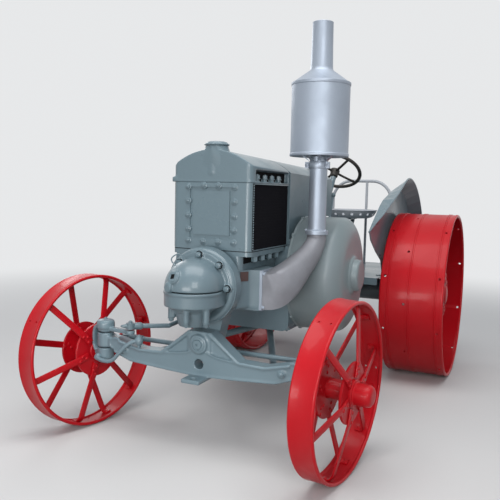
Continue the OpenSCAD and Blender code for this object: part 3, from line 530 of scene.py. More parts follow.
class TRACTOR_OT_head(bpy.types.Operator):
    """Builds the cylinder head's two covers with their bosses, lugs and bolts"""
    bl_idname = "tractor.head"
    bl_label = "Cylinder head"

    PLATE_Y, BOLT_CIRCLE, FLANGE_R = -0.0425, 0.152, 0.186
    LUG_Z, HANDLE_AZIMUTH = 0.655, -70
    # Azimuth and elevation on the dome
    port, plug, ears = (-16, 26), (-24, 5), ((-24, 3), (152, 3))
    lug_rows = (  # x, y, of the lugs that hang under the skirt
        (-0.108, -0.118), (0.026, -0.205), (0.104, -0.160))
    handle_rows = (  # elevation and height over the dome
        (50, -0.004), (49, 0.020), (52, 0.034), (59, 0.038), (66, 0.034), (69, 0.020),
        (68, -0.004))

    def execute(self, context):
        spots = [at(x, self.PLATE_Y, z) for x, z in
                 on_arc((0, ENGINE_Z), self.BOLT_CIRCLE, range(0, 181, 45))]
        upper = bmesh.new()
        for spot in spots:
            turned(upper, [(0.022, -0.012), (0.022, 0.004), (0.019, 0.006)],
                   along(spot, FRONT), 24)
        turned(upper, [(0.036, 0), (0.034, 0.017), (0.031, 0.020)],
               along(*on_dome(*self.port, -0.012)), 32)
        turned(upper, [(0.025, 0), (0.025, 0.020), (0.021, 0.024)],
               along(*on_dome(*self.plug, -0.010)), 28)
        for ear in self.ears:
            place = on_dome(*ear, -0.004)[0]
            slab(upper, place - Vector((0.016, 0.014, 0.006)),
                 place + Vector((0.016, 0.014, 0.020)))
        casting("head_cover_upper_casting", "head_cover_upper", upper, *GREY,
                grain_size=0.0032, passes=4)

        lower = bmesh.new()
        for x, y in self.lug_rows:
            inwards = Vector((x, y - HEAD_Y, 0)).normalized() * -0.012
            rod(lower, 0.0155, 0, 0.075, along(at(x, y, self.LUG_Z), UP), 20)
            turned(lower, [(0.0125, 0), (0.010, 0.075)],
                   along(at(x, y, self.LUG_Z + 0.003) + inwards, UP), 20)
        rod(lower, 0.1405, 0, 0.012, along(at(0, HEAD_Y, 0.7815), UP), 64)
        casting("head_cover_lower_casting", "head_cover_lower", lower, *GREY,
                grain_size=0.0034, passes=4)

        trim = bmesh.new()
        port = on_dome(*self.port, 0.0045)
        self.square_socket(trim, along(*port, 0.2))
        bolts(trim, [spot + Vector((0, -0.0075, 0)) for spot in spots], FRONT,
              radius=0.0150, height=0.017, washer=False)
        bolts(trim, [at(x, y, self.LUG_Z) for x, y in self.lug_rows], DOWN,
              radius=0.0125, height=0.015)
        bolts(trim, [on_dome(*ear, 0.004)[0] + Vector((0, 0, 0.019)) for ear in self.ears], UP,
              radius=0.008)
        handle = [on_dome(self.HANDLE_AZIMUTH, *row)[0] for row in self.handle_rows]
        tube(trim, smooth_path(handle), 0.0032, 8)
        piece("head_cover_fittings", trim, *GREY)

        # Painted shade: a black disc down in the port's square hole, and black discs under the
        # flange's bolts for the shade round their nuts
        dark = bmesh.new()
        rod(dark, 0.0155, -0.006, 0.0045, along(*port), 24)
        for spot in spots:
            rod(dark, 0.0185, -0.004, 0.0078, along(spot, FRONT), 24)
        piece("head_painted_shade_discs", dark, *SHADOW)

        ring = bmesh.new()
        turned(ring, [(0.158, 0.030), (0.158, -0.0375), (0.166, -0.0380), (0.173, -0.0350),
                      (0.179, -0.0290), (0.1835, -0.0200), (self.FLANGE_R, -0.0080),
                      (self.FLANGE_R, 0.030)], along(at(0, 0, ENGINE_Z), BACK), 96, loop=True)
        piece("cylinder_flange_bead", ring, *GREY)
        return {"FINISHED"}

    def square_socket(self, bm, place, side=0.0115, rim=0.027):
        """A low round boss with a square hole in it."""
        steps = 32
        square = [(x * side / max(abs(x), abs(y)), y * side / max(abs(x), abs(y)))
                  for x, y in circle_points(1.0, steps)]
        foot = circle_points(rim, steps)
        rows = ((foot, -0.004), (foot, 0.004), (circle_points(rim - 0.002, steps), 0.006),
                (square, 0.006), (square, -0.003))
        loft(bm, [[place @ Vector((x, y, h)) for x, y in ring] for ring, h in rows])


RAD_HALF, RAD_FRONT, RAD_BACK = 0.215, 0.060, 0.560
SEAM_LOW, SEAM_HIGH = 0.971, 1.299


class TRACTOR_OT_radiator(bpy.types.Operator):
    """Builds the radiator's tanks, front frame, cores, nuts and seams, with painted shade in its
    slots
    """
    bl_idname = "tractor.radiator"
    bl_label = "Radiator"

    NECK_Y = RAD_FRONT + 0.052
    CORE_TUBES, CORE_FINS, BEADS, TANK_NUTS = 38, 22, 27, 4
    panel_bolts = [(side * 0.1275, z) for side in (-1, 1) for z in (1.277, 1.208, 1.138, 1.070)]
    panel_bolts += [(x, 1.284) for x in (-0.040, 0.040)]
    panel_bolts += [(x, 1.012) for x in (-0.125, -0.042, 0.042, 0.125)]
    fillet_rows = (  # radius and height of the filler neck's fillet
        (0.082, 1.432), (0.070, 1.444), (0.0625, 1.456), (0.0580, 1.468), (0.0565, 1.476))
    bulge_rows = (  # half width, depth and height of the neck's bulge down the face
        (0.084, 0.0, 1.352), (0.080, 0.0015, 1.372), (0.073, 0.0040, 1.395),
        (0.066, 0.0060, 1.420), (0.058, 0.0070, 1.442), (0.034, 0.0065, 1.457),
        (0.022, 0.0055, 1.473))

    def execute(self, context):
        tank = bmesh.new()
        slab(tank, at(-RAD_HALF - 0.006, RAD_FRONT - 0.002, SEAM_HIGH + 0.001),
             at(-RAD_HALF + 0.02, RAD_FRONT + 0.03, SEAM_HIGH + 0.026))
        self.seam(tank, 0.004, SEAM_HIGH, 0.006)
        casting("radiator_top_casting", "radiator_top_tank", tank, *GREY,
                grain_size=0.0045, passes=5)
        self.neck()

        front = bmesh.new()
        for x, z in self.panel_bolts:
            turned(front, [(0.0175, -0.010), (0.0175, 0.0015), (0.0155, 0.003)],
                   along(at(x, RAD_FRONT, z), FRONT), 24)
            bolt(front, at(x, RAD_FRONT - 0.003, z), FRONT)
        for i in range(self.BEADS):
            z = SEAM_LOW + 0.012 + (SEAM_HIGH - SEAM_LOW - 0.024) * i / (self.BEADS - 1)
            for side in (-1, 1):
                rivet(front, at(side * (RAD_HALF + 0.0006), RAD_FRONT + 0.0265, z), (side, 0, 0),
                      radius=0.0046, height=0.0040)
        piece("radiator_front_fittings", front, *GREY)

        nuts, dark = bmesh.new(), bmesh.new()
        for side in (-1, 1):
            for i in range(self.TANK_NUTS):
                y = RAD_FRONT + 0.095 + 0.090 * i
                bolt(nuts, at(side * (RAD_HALF - 0.015), y, SEAM_HIGH + 0.0225), UP,
                     radius=0.0125, height=0.018)
                bolt(nuts, at(side * (RAD_HALF - 0.020), y, SEAM_LOW - 0.0235), DOWN,
                     radius=0.0170, height=0.030)
            # painted shade: black slabs in the slot behind the upper nuts, under the beads and
            # behind the lower nuts
            side_slab(dark, side, (RAD_HALF - 0.031, RAD_FRONT + 0.050, SEAM_HIGH + 0.0075),
                      (RAD_HALF - 0.027, RAD_BACK - 0.021, SEAM_HIGH + 0.060))
            side_slab(dark, side, (RAD_HALF - 0.003, RAD_FRONT + 0.0195, SEAM_LOW + 0.004),
                      (RAD_HALF + 0.0008, RAD_FRONT + 0.0335, SEAM_HIGH - 0.002))
            side_slab(dark, side, (0.166, 0.085, SEAM_LOW - 0.060),
                      (0.1705, 0.495, SEAM_LOW - 0.0245))
        # a dark seam line round the case at the lower seam
        self.seam(dark, 0.0012, SEAM_LOW - 0.0018, 0.0036)
        piece("radiator_tank_nuts", nuts, *GREY)
        piece("radiator_painted_shade_and_seam", dark, *SHADOW)

        plate = bmesh.new()
        outwards = (0.89, -0.46, 0)
        facing = along(at(0.1712, 0.0915, 0.849), outwards)
        prism(plate, rounded_rect(0.048, 0.046, 0.003), facing, 0.003)
        for x in (-0.020, 0.020):
            rivet(plate, facing @ Vector((x, 0, 0.003)), outwards, radius=0.003)
        piece("side_plate", plate, "Oxide Plate", "chassis", "dark_steel")

        for name, side in SIDES:
            self.core(name, side)
        return {"FINISHED"}

    def seam(self, bm, grow, z, thickness):
        """A thin plate that stands out of the case all round."""
        outline = rounded_rect(2 * RAD_HALF + grow, RAD_BACK - RAD_FRONT + grow, 0.028)
        prism(bm, outline, standing(0, (RAD_FRONT + RAD_BACK) / 2, z), thickness)

    def neck(self):
        neck = bmesh.new()
        loft(neck, [[at(x, max(y, -0.0525) + self.NECK_Y, z)
                     for x, y in circle_points(radius, 64)] for radius, z in self.fillet_rows])
        rings = []
        for wide, proud, z in self.bulge_rows:
            front = [(wide * (i / 10 - 1), proud * math.cos(math.pi / 2 * (i / 10 - 1)) ** 2)
                     for i in range(21)]
            rings.append([at(x, RAD_FRONT + 0.001 - ahead, z) for x, ahead in front]
                         + [at(wide, RAD_FRONT + 0.02, z), at(-wide, RAD_FRONT + 0.02, z)])
        loft(neck, rings)
        piece("filler_neck_base", neck, *GREY, sharp=60)

        cap = bmesh.new()
        profile = [(0, -0.004), (0.050, -0.004), (0.052, 0.002), (0.0605, 0.003)]
        profile += on_arc((0.0575, 0.0075), 0.0045, range(-60, 91, 25))
        profile += [(0.054, 0.0135), (0.050, 0.019), (0.036, 0.0228), (0.018, 0.0238), (0, 0.024)]
        turned(cap, profile, along(at(0, self.NECK_Y, 1.476), UP), 64)
        piece("filler_cap_lid", cap, *GREY, replaces=["filler_cap"])

    def core(self, name, side):
        """A core: upright tubes crossed by thin level fins."""
        bm = bmesh.new()
        low, high = SEAM_LOW + 0.006, SEAM_HIGH - 0.006
        front, back = RAD_FRONT + 0.032, RAD_BACK - 0.014
        outer = RAD_HALF - 0.005
        side_slab(bm, side, (0.150, front, low), (outer - 0.016, back, high))
        for i in range(self.CORE_TUBES):
            y = front + (back - front) * (i + 0.5) / self.CORE_TUBES
            rod(bm, 0.0042, low, high, standing(side * (outer - 0.006), y), 8)
        for i in range(self.CORE_FINS):
            z = low + (high - low) * (i + 0.5) / self.CORE_FINS
            side_slab(bm, side, (outer - 0.017, front, z - 0.0005),
                      (outer - 0.003, back, z + 0.0005))
        piece("radiator_core_tubes_" + name, bm, "Core Black", "chassis", "core_black",
              replaces=["radiator_core_" + name])


class TRACTOR_OT_exhaust(bpy.types.Operator):
    """Builds the exhaust's cast duct, pipe, collar and muffler"""
    bl_idname = "tractor.exhaust"
    bl_label = "Exhaust"

    PIPE_X, PIPE_Y = 0.400, 0.480
    JOINT_Z = 1.056
    MUFFLER_Z, MUFFLER_TOP, CONE_TOP, STACK_TOP = 1.445, 1.817, 1.882, 2.118
    MUFFLER_R = 0.152
    DUCT_SIDES, DUCT_STEPS, PORT_RINGS = 40, 5, 6
    duct_rows = (  # middle x, y, z, radius, share of squareness
        (0.249, 0.215, 0.778, 0.085, 1.0), (0.262, 0.218, 0.779, 0.087, 0.9),
        (0.281, 0.226, 0.786, 0.092, 0.6), (0.308, 0.250, 0.808, 0.090, 0.3),
        (0.334, 0.302, 0.845, 0.081, 0.1), (0.355, 0.360, 0.886, 0.071, 0.0),
        (0.378, 0.410, 0.930, 0.062, 0.0), (0.393, 0.450, 0.975, 0.055, 0.0),
        (0.400, 0.476, 1.012, 0.051, 0.0), (0.400, 0.480, 1.048, 0.050, 0.0))
    fillet_outline = (  # x, y, of the port's side from the flange to the cylinder
        (0.150, 0.060), (0.158, 0.066), (0.184, 0.116), (0.191, 0.1215), (0.203, 0.1250),
        (0.236, 0.1290), (0.236, 0.140), (0.150, 0.140))

    def execute(self, context):
        self.duct()
        self.duct_fittings()
        foot = along(at(self.PIPE_X, self.PIPE_Y, 0), UP)
        self.pipe(foot)
        self.muffler(foot)
        return {"FINISHED"}

    def duct(self):
        bm = bmesh.new()
        middles = smooth_path([Vector(row[:3]) for row in self.duct_rows], self.DUCT_STEPS)
        sizes = smooth_path([Vector((*row[3:], 0)) for row in self.duct_rows], self.DUCT_STEPS)
        rings = []
        for i, (middle, (radius, square, _)) in enumerate(zip(middles, sizes)):
            before, after = middles[max(i - 1, 0)], middles[min(i + 1, len(middles) - 1)]
            tangent = (after - before).normalized()
            if i < self.PORT_RINGS:
                tangent = Vector(LEFT).lerp(tangent, i / self.PORT_RINGS).normalized()
            level = self.hold_level(tangent, i / len(middles))
            rise = tangent.cross(level)
            ring = []
            for x, y in circle_points(1.0, self.DUCT_SIDES):
                stretch = radius * ((1 - square) + square / max(abs(x), abs(y)))
                ring.append(at(*(middle + level * (x * stretch * 0.96)
                                 + rise * (y * stretch * (1 + 0.06 * square)))))
            rings.append(ring)
        loft(bm, rings)
        piece("exhaust_duct_casting", bm, "Cast Aluminium Paint", "chassis", "silver_paint",
              replaces=["exhaust_duct"], sharp=50)

    def hold_level(self, tangent, share):
        """Keeps the ring's first axis turning the same way while the duct rises."""
        wanted = Vector((-0.35, 0.94, 0)).lerp(Vector((-0.9, 0.4, 0)), share)
        return (wanted - wanted.dot(tangent) * tangent).normalized()

    def duct_fittings(self):
        fillet = bmesh.new()
        loft(fillet, [[at(x - inset, y, z) for x, y in self.fillet_outline] for inset, z in
                      ((0.012, 0.690), (0.003, 0.697), (0, 0.708), (0, 0.8785))])
        piece("exhaust_port_fillet", fillet, *GREY, sharp=50)

        trim = bmesh.new()
        bolts(trim, [at(0.250, y, z) for y in (0.142, 0.288) for z in (0.862, 0.698)], LEFT,
              radius=0.011, height=0.013)
        prism(trim, rounded_rect(0.170, 0.199, 0.008), along(at(0.235, 0.215, 0.779), LEFT), 0.015)
        joint = along(at(self.PIPE_X, self.PIPE_Y, self.JOINT_Z), UP)
        turned(trim, [(0.050, -0.013), (0.0580, -0.0125), (0.0600, -0.010), (0.0600, 0.007),
                      (0.0580, 0.0095), (0.050, 0.010)], joint, 48, loop=True)
        clamp = joint @ Vector((0.012, -0.060, -0.0015))
        slab(trim, clamp - Vector((0.014, 0.006, 0.009)), clamp + Vector((0.014, 0.008, 0.009)))
        bolt(trim, clamp - Vector((0, 0.006, 0)), (0.1, -1, 0), radius=0.0085, height=0.009)
        piece("exhaust_duct_fittings", trim, *SILVER)

    def pipe(self, foot):
        bm = bmesh.new()
        z = self.JOINT_Z
        turned(bm, [(0.046, z), (0.0585, z), (0.0585, z + 0.008), (0.052, z + 0.0095),
                    (0.0465, z + 0.016), (0.046, z + 0.030), (0.046, self.MUFFLER_Z)], foot, 64)
        # the collar under the muffler, with an ear and a bolt on each side
        c = self.MUFFLER_Z - 0.062
        turned(bm, [(0.045, c), (0.0505, c + 0.0005), (0.052, c + 0.003), (0.052, c + 0.035),
                    (0.0505, c + 0.0375), (0.045, c + 0.038)], foot, 64, loop=True)
        half = Vector((0.010, 0.006, 0.016))
        for side in (-1, 1):
            ear = at(self.PIPE_X + side * 0.056, self.PIPE_Y - 0.020, c + 0.019)
            slab(bm, ear - half, ear + half)
            bolt(bm, ear + Vector((0, -0.006, 0)), FRONT, radius=0.0075)
            bolt(bm, at(self.PIPE_X + side * 0.052, self.PIPE_Y - 0.018, z + 0.008), UP,
                 radius=0.0075)
        # the struts from the collar out to the muffler's floor
        angles = (200, 245, 290, 340, 60, 120)
        middle = (self.PIPE_X, self.PIPE_Y)
        for top, low in zip(on_arc(middle, 0.085, angles), on_arc(middle, 0.050, angles)):
            swept(bm, [at(*low, self.MUFFLER_Z - 0.020), at(*top, self.MUFFLER_Z + 0.004)],
                  [(-0.002, -0.009), (0.002, -0.009), (0.002, 0.009), (-0.002, 0.009)], side=UP)
        piece("exhaust_pipe_tube", bm, *SILVER, replaces=["exhaust_pipe"])

    def muffler(self, foot):
        bm = bmesh.new()
        r, low, top = self.MUFFLER_R, self.MUFFLER_Z, self.MUFFLER_TOP
        body, cone, stack = r - 0.003, self.CONE_TOP, self.STACK_TOP
        turned(bm, [(0.040, low + 0.006), (body - 0.020, low + 0.004), (body - 0.006, low + 0.002),
                    (r - 0.0015, low + 0.0005), (r, low + 0.003), (r, low + 0.013),
                    (r - 0.001, low + 0.0155), (body, low + 0.017), (body, top - 0.017),
                    (r - 0.001, top - 0.0155), (r, top - 0.013), (r, top - 0.002),
                    (r - 0.003, top + 0.001), (body - 0.008, top + 0.004), (0.100, top + 0.034),
                    (0.064, cone - 0.006), (0.0585, cone + 0.002), (0.057, cone + 0.014),
                    (0.0545, cone + 0.110), (0.0525, stack - 0.006), (0.0535, stack - 0.002),
                    (0.052, stack), (0.0495, stack - 0.002), (0.0490, stack - 0.008),
                    (0.0500, cone - 0.05), (0, cone - 0.055)], foot, 96)
        # the lap seam down the back
        slab(bm, at(self.PIPE_X + 0.010, self.PIPE_Y + body - 0.001, low + 0.017),
             at(self.PIPE_X + 0.030, self.PIPE_Y + body + 0.0005, top - 0.017))
        piece("muffler_drum", bm, *SILVER, replaces=["muffler"], sharp=42)


class TRACTOR_OT_engine_sides(bpy.types.Operator):
    """Builds the flywheel cover, the belt pulley and the crankcase's covers"""
    bl_idname = "tractor.engine_sides"
    bl_label = "Engine sides"

    DEPTH, RADIUS, LIP, LIP_DEPTH, LIP_STEPS = 0.280, 0.320, 0.140, 0.070, 18
    PULLEY_X, PULLEY_W = -0.290, 0.170
    hub_cap = (  # radius and height over the flywheel cover's face
        (0.130, 0.001), (0.112, 0.0025), (0.1045, 0.006), (0.1020, 0.0105), (0.0990, 0.0115),
        (0.0905, 0.0125), (0.0890, 0.0150), (0.088, 0.034), (0.0865, 0.039), (0.080, 0.044),
        (0.072, 0.0455), (0.030, 0.046), (0, 0.046))

    def execute(self, context):
        self.flywheel_cover()
        self.crankcase()
        self.pulley()
        return {"FINISHED"}

    def flywheel_cover(self):
        cover, trim = bmesh.new(), bmesh.new()
        axis = along(at(0.2403, CRANK_Y, ENGINE_Z), LEFT)
        profile = [(0, 0), (self.RADIUS - 0.004, 0), (self.RADIUS, 0.004)]
        for i in range(self.LIP_STEPS + 1):
            a = math.radians(90 * i / self.LIP_STEPS)
            profile.append((self.RADIUS - self.LIP * (1 - math.cos(a)),
                            self.DEPTH - self.LIP_DEPTH * (1 - math.sin(a))))
        profile += [(radius, self.DEPTH + height) for radius, height in self.hub_cap]
        turned(cover, profile, axis, 128)
        piece("flywheel_cover_pressing", cover, *DUSTY, replaces=["flywheel_cover"], sharp=60)

        turned(trim, [(0.302, 0.000), (0.3225, 0.0), (0.3225, 0.010), (0.3195, 0.012),
                      (0.302, 0.012)], axis, 128, loop=True)
        for y, z in between(0.318, 12):
            rod(trim, 0.011, -0.004, 0.012, along(at(0.2410, CRANK_Y + y, ENGINE_Z + z), LEFT), 16)
        piece("flywheel_cover_rim", trim, *DUSTY)

    def crankcase(self):
        side, sump = bmesh.new(), bmesh.new()
        # the right side: the bearing housing's ring of bolts and an inspection cover
        bolts(side, [at(-0.275, CRANK_Y + y, ENGINE_Z + z) for y, z in between(0.128, 8)], RIGHT,
              radius=0.010)
        place = along(at(-0.240, 0.625, 0.625), RIGHT)
        prism(side, rounded_rect(0.150, 0.110, 0.02), place, 0.010)
        bolts(side, [place @ Vector((x, y, 0.010)) for x in (-0.062, 0.062)
                     for y in (-0.042, 0.042)], RIGHT)
        bolts(side, [at(x, 0.565 + i * 0.08, 0.502) for x in (-0.215, 0.215) for i in range(7)],
              DOWN, radius=0.009)
        piece("crankcase_fittings", side, *GREY)
        prism(sump, rounded_rect(0.470, 0.540, 0.03), standing(0, 0.800, 0.5015), 0.016)
        piece("crankcase_sump_flange", sump, *GREY, edge=0.002)

    def pulley(self):
        wheel, nut = bmesh.new(), bmesh.new()
        width = self.PULLEY_W
        axis = along(at(self.PULLEY_X, CRANK_Y, ENGINE_Z), RIGHT)
        turned(wheel, [(0.284, 0), (0.2975, 0.001), (0.2985, 0.006), (0.2998, width * 0.5),
                       (0.2985, width - 0.006), (0.2975, width - 0.001), (0.284, width),
                       (0.285, width * 0.62), (0.270, width * 0.58), (0.270, width * 0.42),
                       (0.285, width * 0.38)], axis, 96, loop=True)
        turned(wheel, [(0.0422, 0.002), (0.100, 0.002), (0.102, 0.006), (0.102, width - 0.008),
                       (0.098, width - 0.002), (0.0422, width - 0.002)], axis, 64, loop=True)
        oval = [(u * 0.5, v) for u, v in circle_points(0.026, 16)]
        for y, z in circle_points(1.0, 6):
            points = [at(self.PULLEY_X - width * 0.5, CRANK_Y + r * y, ENGINE_Z + r * z)
                      for r in (0.095, 0.16, 0.22, 0.276)]
            swept(wheel, points, oval, side=LEFT)
        piece("belt_pulley_wheel", wheel, "Grey Enamel", "belt_pulley", "paint_grey",
              replaces=["belt_pulley"])
        bolt(nut, at(-0.4715, CRANK_Y, ENGINE_Z), RIGHT, radius=0.028, height=0.018)
        piece("crank_end_nut", nut, *GREY)


# The front axle

KINGPIN = (0.576, -0.010)
STEER = {"left": math.radians(-5.8), "right": math.radians(-11.6)}


def knuckle_frame(name, side):
    """A frame on the kingpin's axis at the ground, turned as the knuckle is at rest."""
    return standing(side * KINGPIN[0], KINGPIN[1]) @ Matrix.Rotation(STEER[name], 4, "Z")


class TRACTOR_OT_front_axle(bpy.types.Operator):
    """Builds the beam, the knuckles and their fittings"""
    bl_idname = "tractor.front_axle"
    bl_label = "Front axle"

    FACE_Y, PIN_Z, HOLE_X, HOLE_Z = -0.041, 0.523, 0.433, 0.437
    beam_lines = (  # place behind the beam's face, radius, sides, then x, z along the line
        # the raised flange along the top edge
        (0.003, 0.0090, 10, ((0.050, 0.580), (0.132, 0.516), (0.213, 0.455), (0.345, 0.450),
                             (0.470, 0.478))),
        # the thin rib of the pivot panel
        (0, 0.0045, 8, ((0.040, 0.486), (0.066, 0.476), (0.100, 0.468), (0.150, 0.462),
                        (0.206, 0.456))),
        # the lower edge
        (0.003, 0.006, 8, ((0.0, 0.366), (0.200, 0.376), (0.400, 0.389), (0.500, 0.424))),
        # the curl at the beam's end
        (0.004, 0.0075, 8, ((0.470, 0.490), (0.497, 0.492), (0.522, 0.482), (0.530, 0.466),
                            (0.526, 0.448), (0.508, 0.440))))
    STAY_END = (-0.350, -0.034)  # where the stay's ball, pin and nut stand over the beam
    stay_rows = (  # x, y, z along the stay in front of the right kingpin
        (-0.592, -0.066, 0.386), (-0.560, -0.070, 0.378), (-0.520, -0.072, 0.375),
        (-0.485, -0.070, 0.388), (-0.450, -0.066, 0.425), (-0.415, -0.060, 0.462),
        (-0.385, -0.050, 0.486), (-0.352, -0.040, 0.497))
    # Radius and height of the knuckle's domed cap, its lower fitting and its ball
    cap = ((0.0405, 0.532), (0.0470, 0.536), (0.0470, 0.554), (0.0455, 0.566), (0.0400, 0.575),
           (0.020, 0.5810), (0, 0.582))
    low = ((0.026, 0.350), (0.034, 0.354), (0.043, 0.364), (0.0435, 0.392), (0.039, 0.402),
           (0.039, 0.410))
    ball = ((0, -0.018), (0.012, -0.016), (0.019, -0.006), (0.020, 0.004), (0.014, 0.015),
            (0, 0.018))
    # x, z down the yoke on the knuckle's outer side
    yoke = ((0.034, 0.545), (0.055, 0.528), (0.063, 0.490), (0.062, 0.440), (0.045, 0.412))

    def execute(self, context):
        beam = bmesh.new()
        for side in (-1, 1):
            for behind, radius, sides, line in self.beam_lines:
                tube(beam, [at(side * x, self.FACE_Y + behind, z) for x, z in line], radius,
                     sides)
            rod(beam, 0.017, 0, 0.006,
                along(at(side * self.HOLE_X, self.FACE_Y, self.HOLE_Z), FRONT), 20)
        turned(beam, [(0.047, 0), (0.047, 0.011), (0.040, 0.0135)],
               along(at(0, self.FACE_Y, self.PIN_Z), FRONT), 40)
        casting("axle_beam_casting", "axle_beam", beam, *AXLE, grain_size=0.0042, passes=3)

        trim = bmesh.new()
        turned(trim, [(0.036, -0.006), (0.036, 0.001), (0.033, 0.003), (0.028, 0.003),
                      (0.027, 0.0005), (0.024, 0.0005), (0.023, 0.004), (0.021, 0.006),
                      (0.0065, 0.006), (0.0062, -0.003)],
               along(at(0, -0.0545, self.PIN_Z), FRONT), 40)
        bolts(trim, [at(x, -0.047, self.HOLE_Z) for x in (-self.HOLE_X, self.HOLE_X)], FRONT,
              radius=0.011, height=0.010)
        tube(trim, smooth_path([at(*row) for row in self.stay_rows], 5), 0.0100, 14)
        turned(trim, [(0, -0.024), (0.012, -0.022), (0.019, -0.012), (0.021, 0), (0.019, 0.012),
                      (0.012, 0.020), (0, 0.022)],
               along(at(*self.STAY_END, 0.495), UP), 20)
        rod(trim, 0.008, 0.452, 0.490, standing(*self.STAY_END), 14)
        bolt(trim, at(*self.STAY_END, 0.515), UP, radius=0.010)
        piece("axle_beam_fittings", trim, *AXLE)

        for name, side in SIDES:
            self.knuckle("knuckle_" + name, side, knuckle_frame(name, side))
        return {"FINISHED"}

    def knuckle(self, body, side, turn):
        bm, fit = bmesh.new(), bmesh.new()
        turned(bm, self.cap, turn, 32)
        points = smooth_path([turn @ Vector((side * x, -0.012, z)) for x, z in self.yoke], 4)
        swept(bm, points, rounded_rect(0.046, 0.016, 0.005, 2),
              side=turn.to_3x3() @ Vector(BACK))
        turned(bm, self.low, turn, 32)
        # painted light: the knuckles take the axle's lightened copy of the body enamel
        casting(body + "_casting", body, bm, "Lit Axle Enamel", body, "paint_grey",
                grain_size=0.0038, passes=3)
        bolt(fit, turn @ Vector((0, 0, 0.578)), UP, radius=0.010, height=0.008)
        turned(fit, self.ball, along(turn @ Vector((side * 0.010, -0.043, 0.385)), FRONT), 20)
        piece(body + "_fittings", fit, "Lit Axle Enamel", body, "paint_grey")


# The wheels

ACROSS = along(Vector((0, 0, 0)), LEFT)  # a wheel's own axis


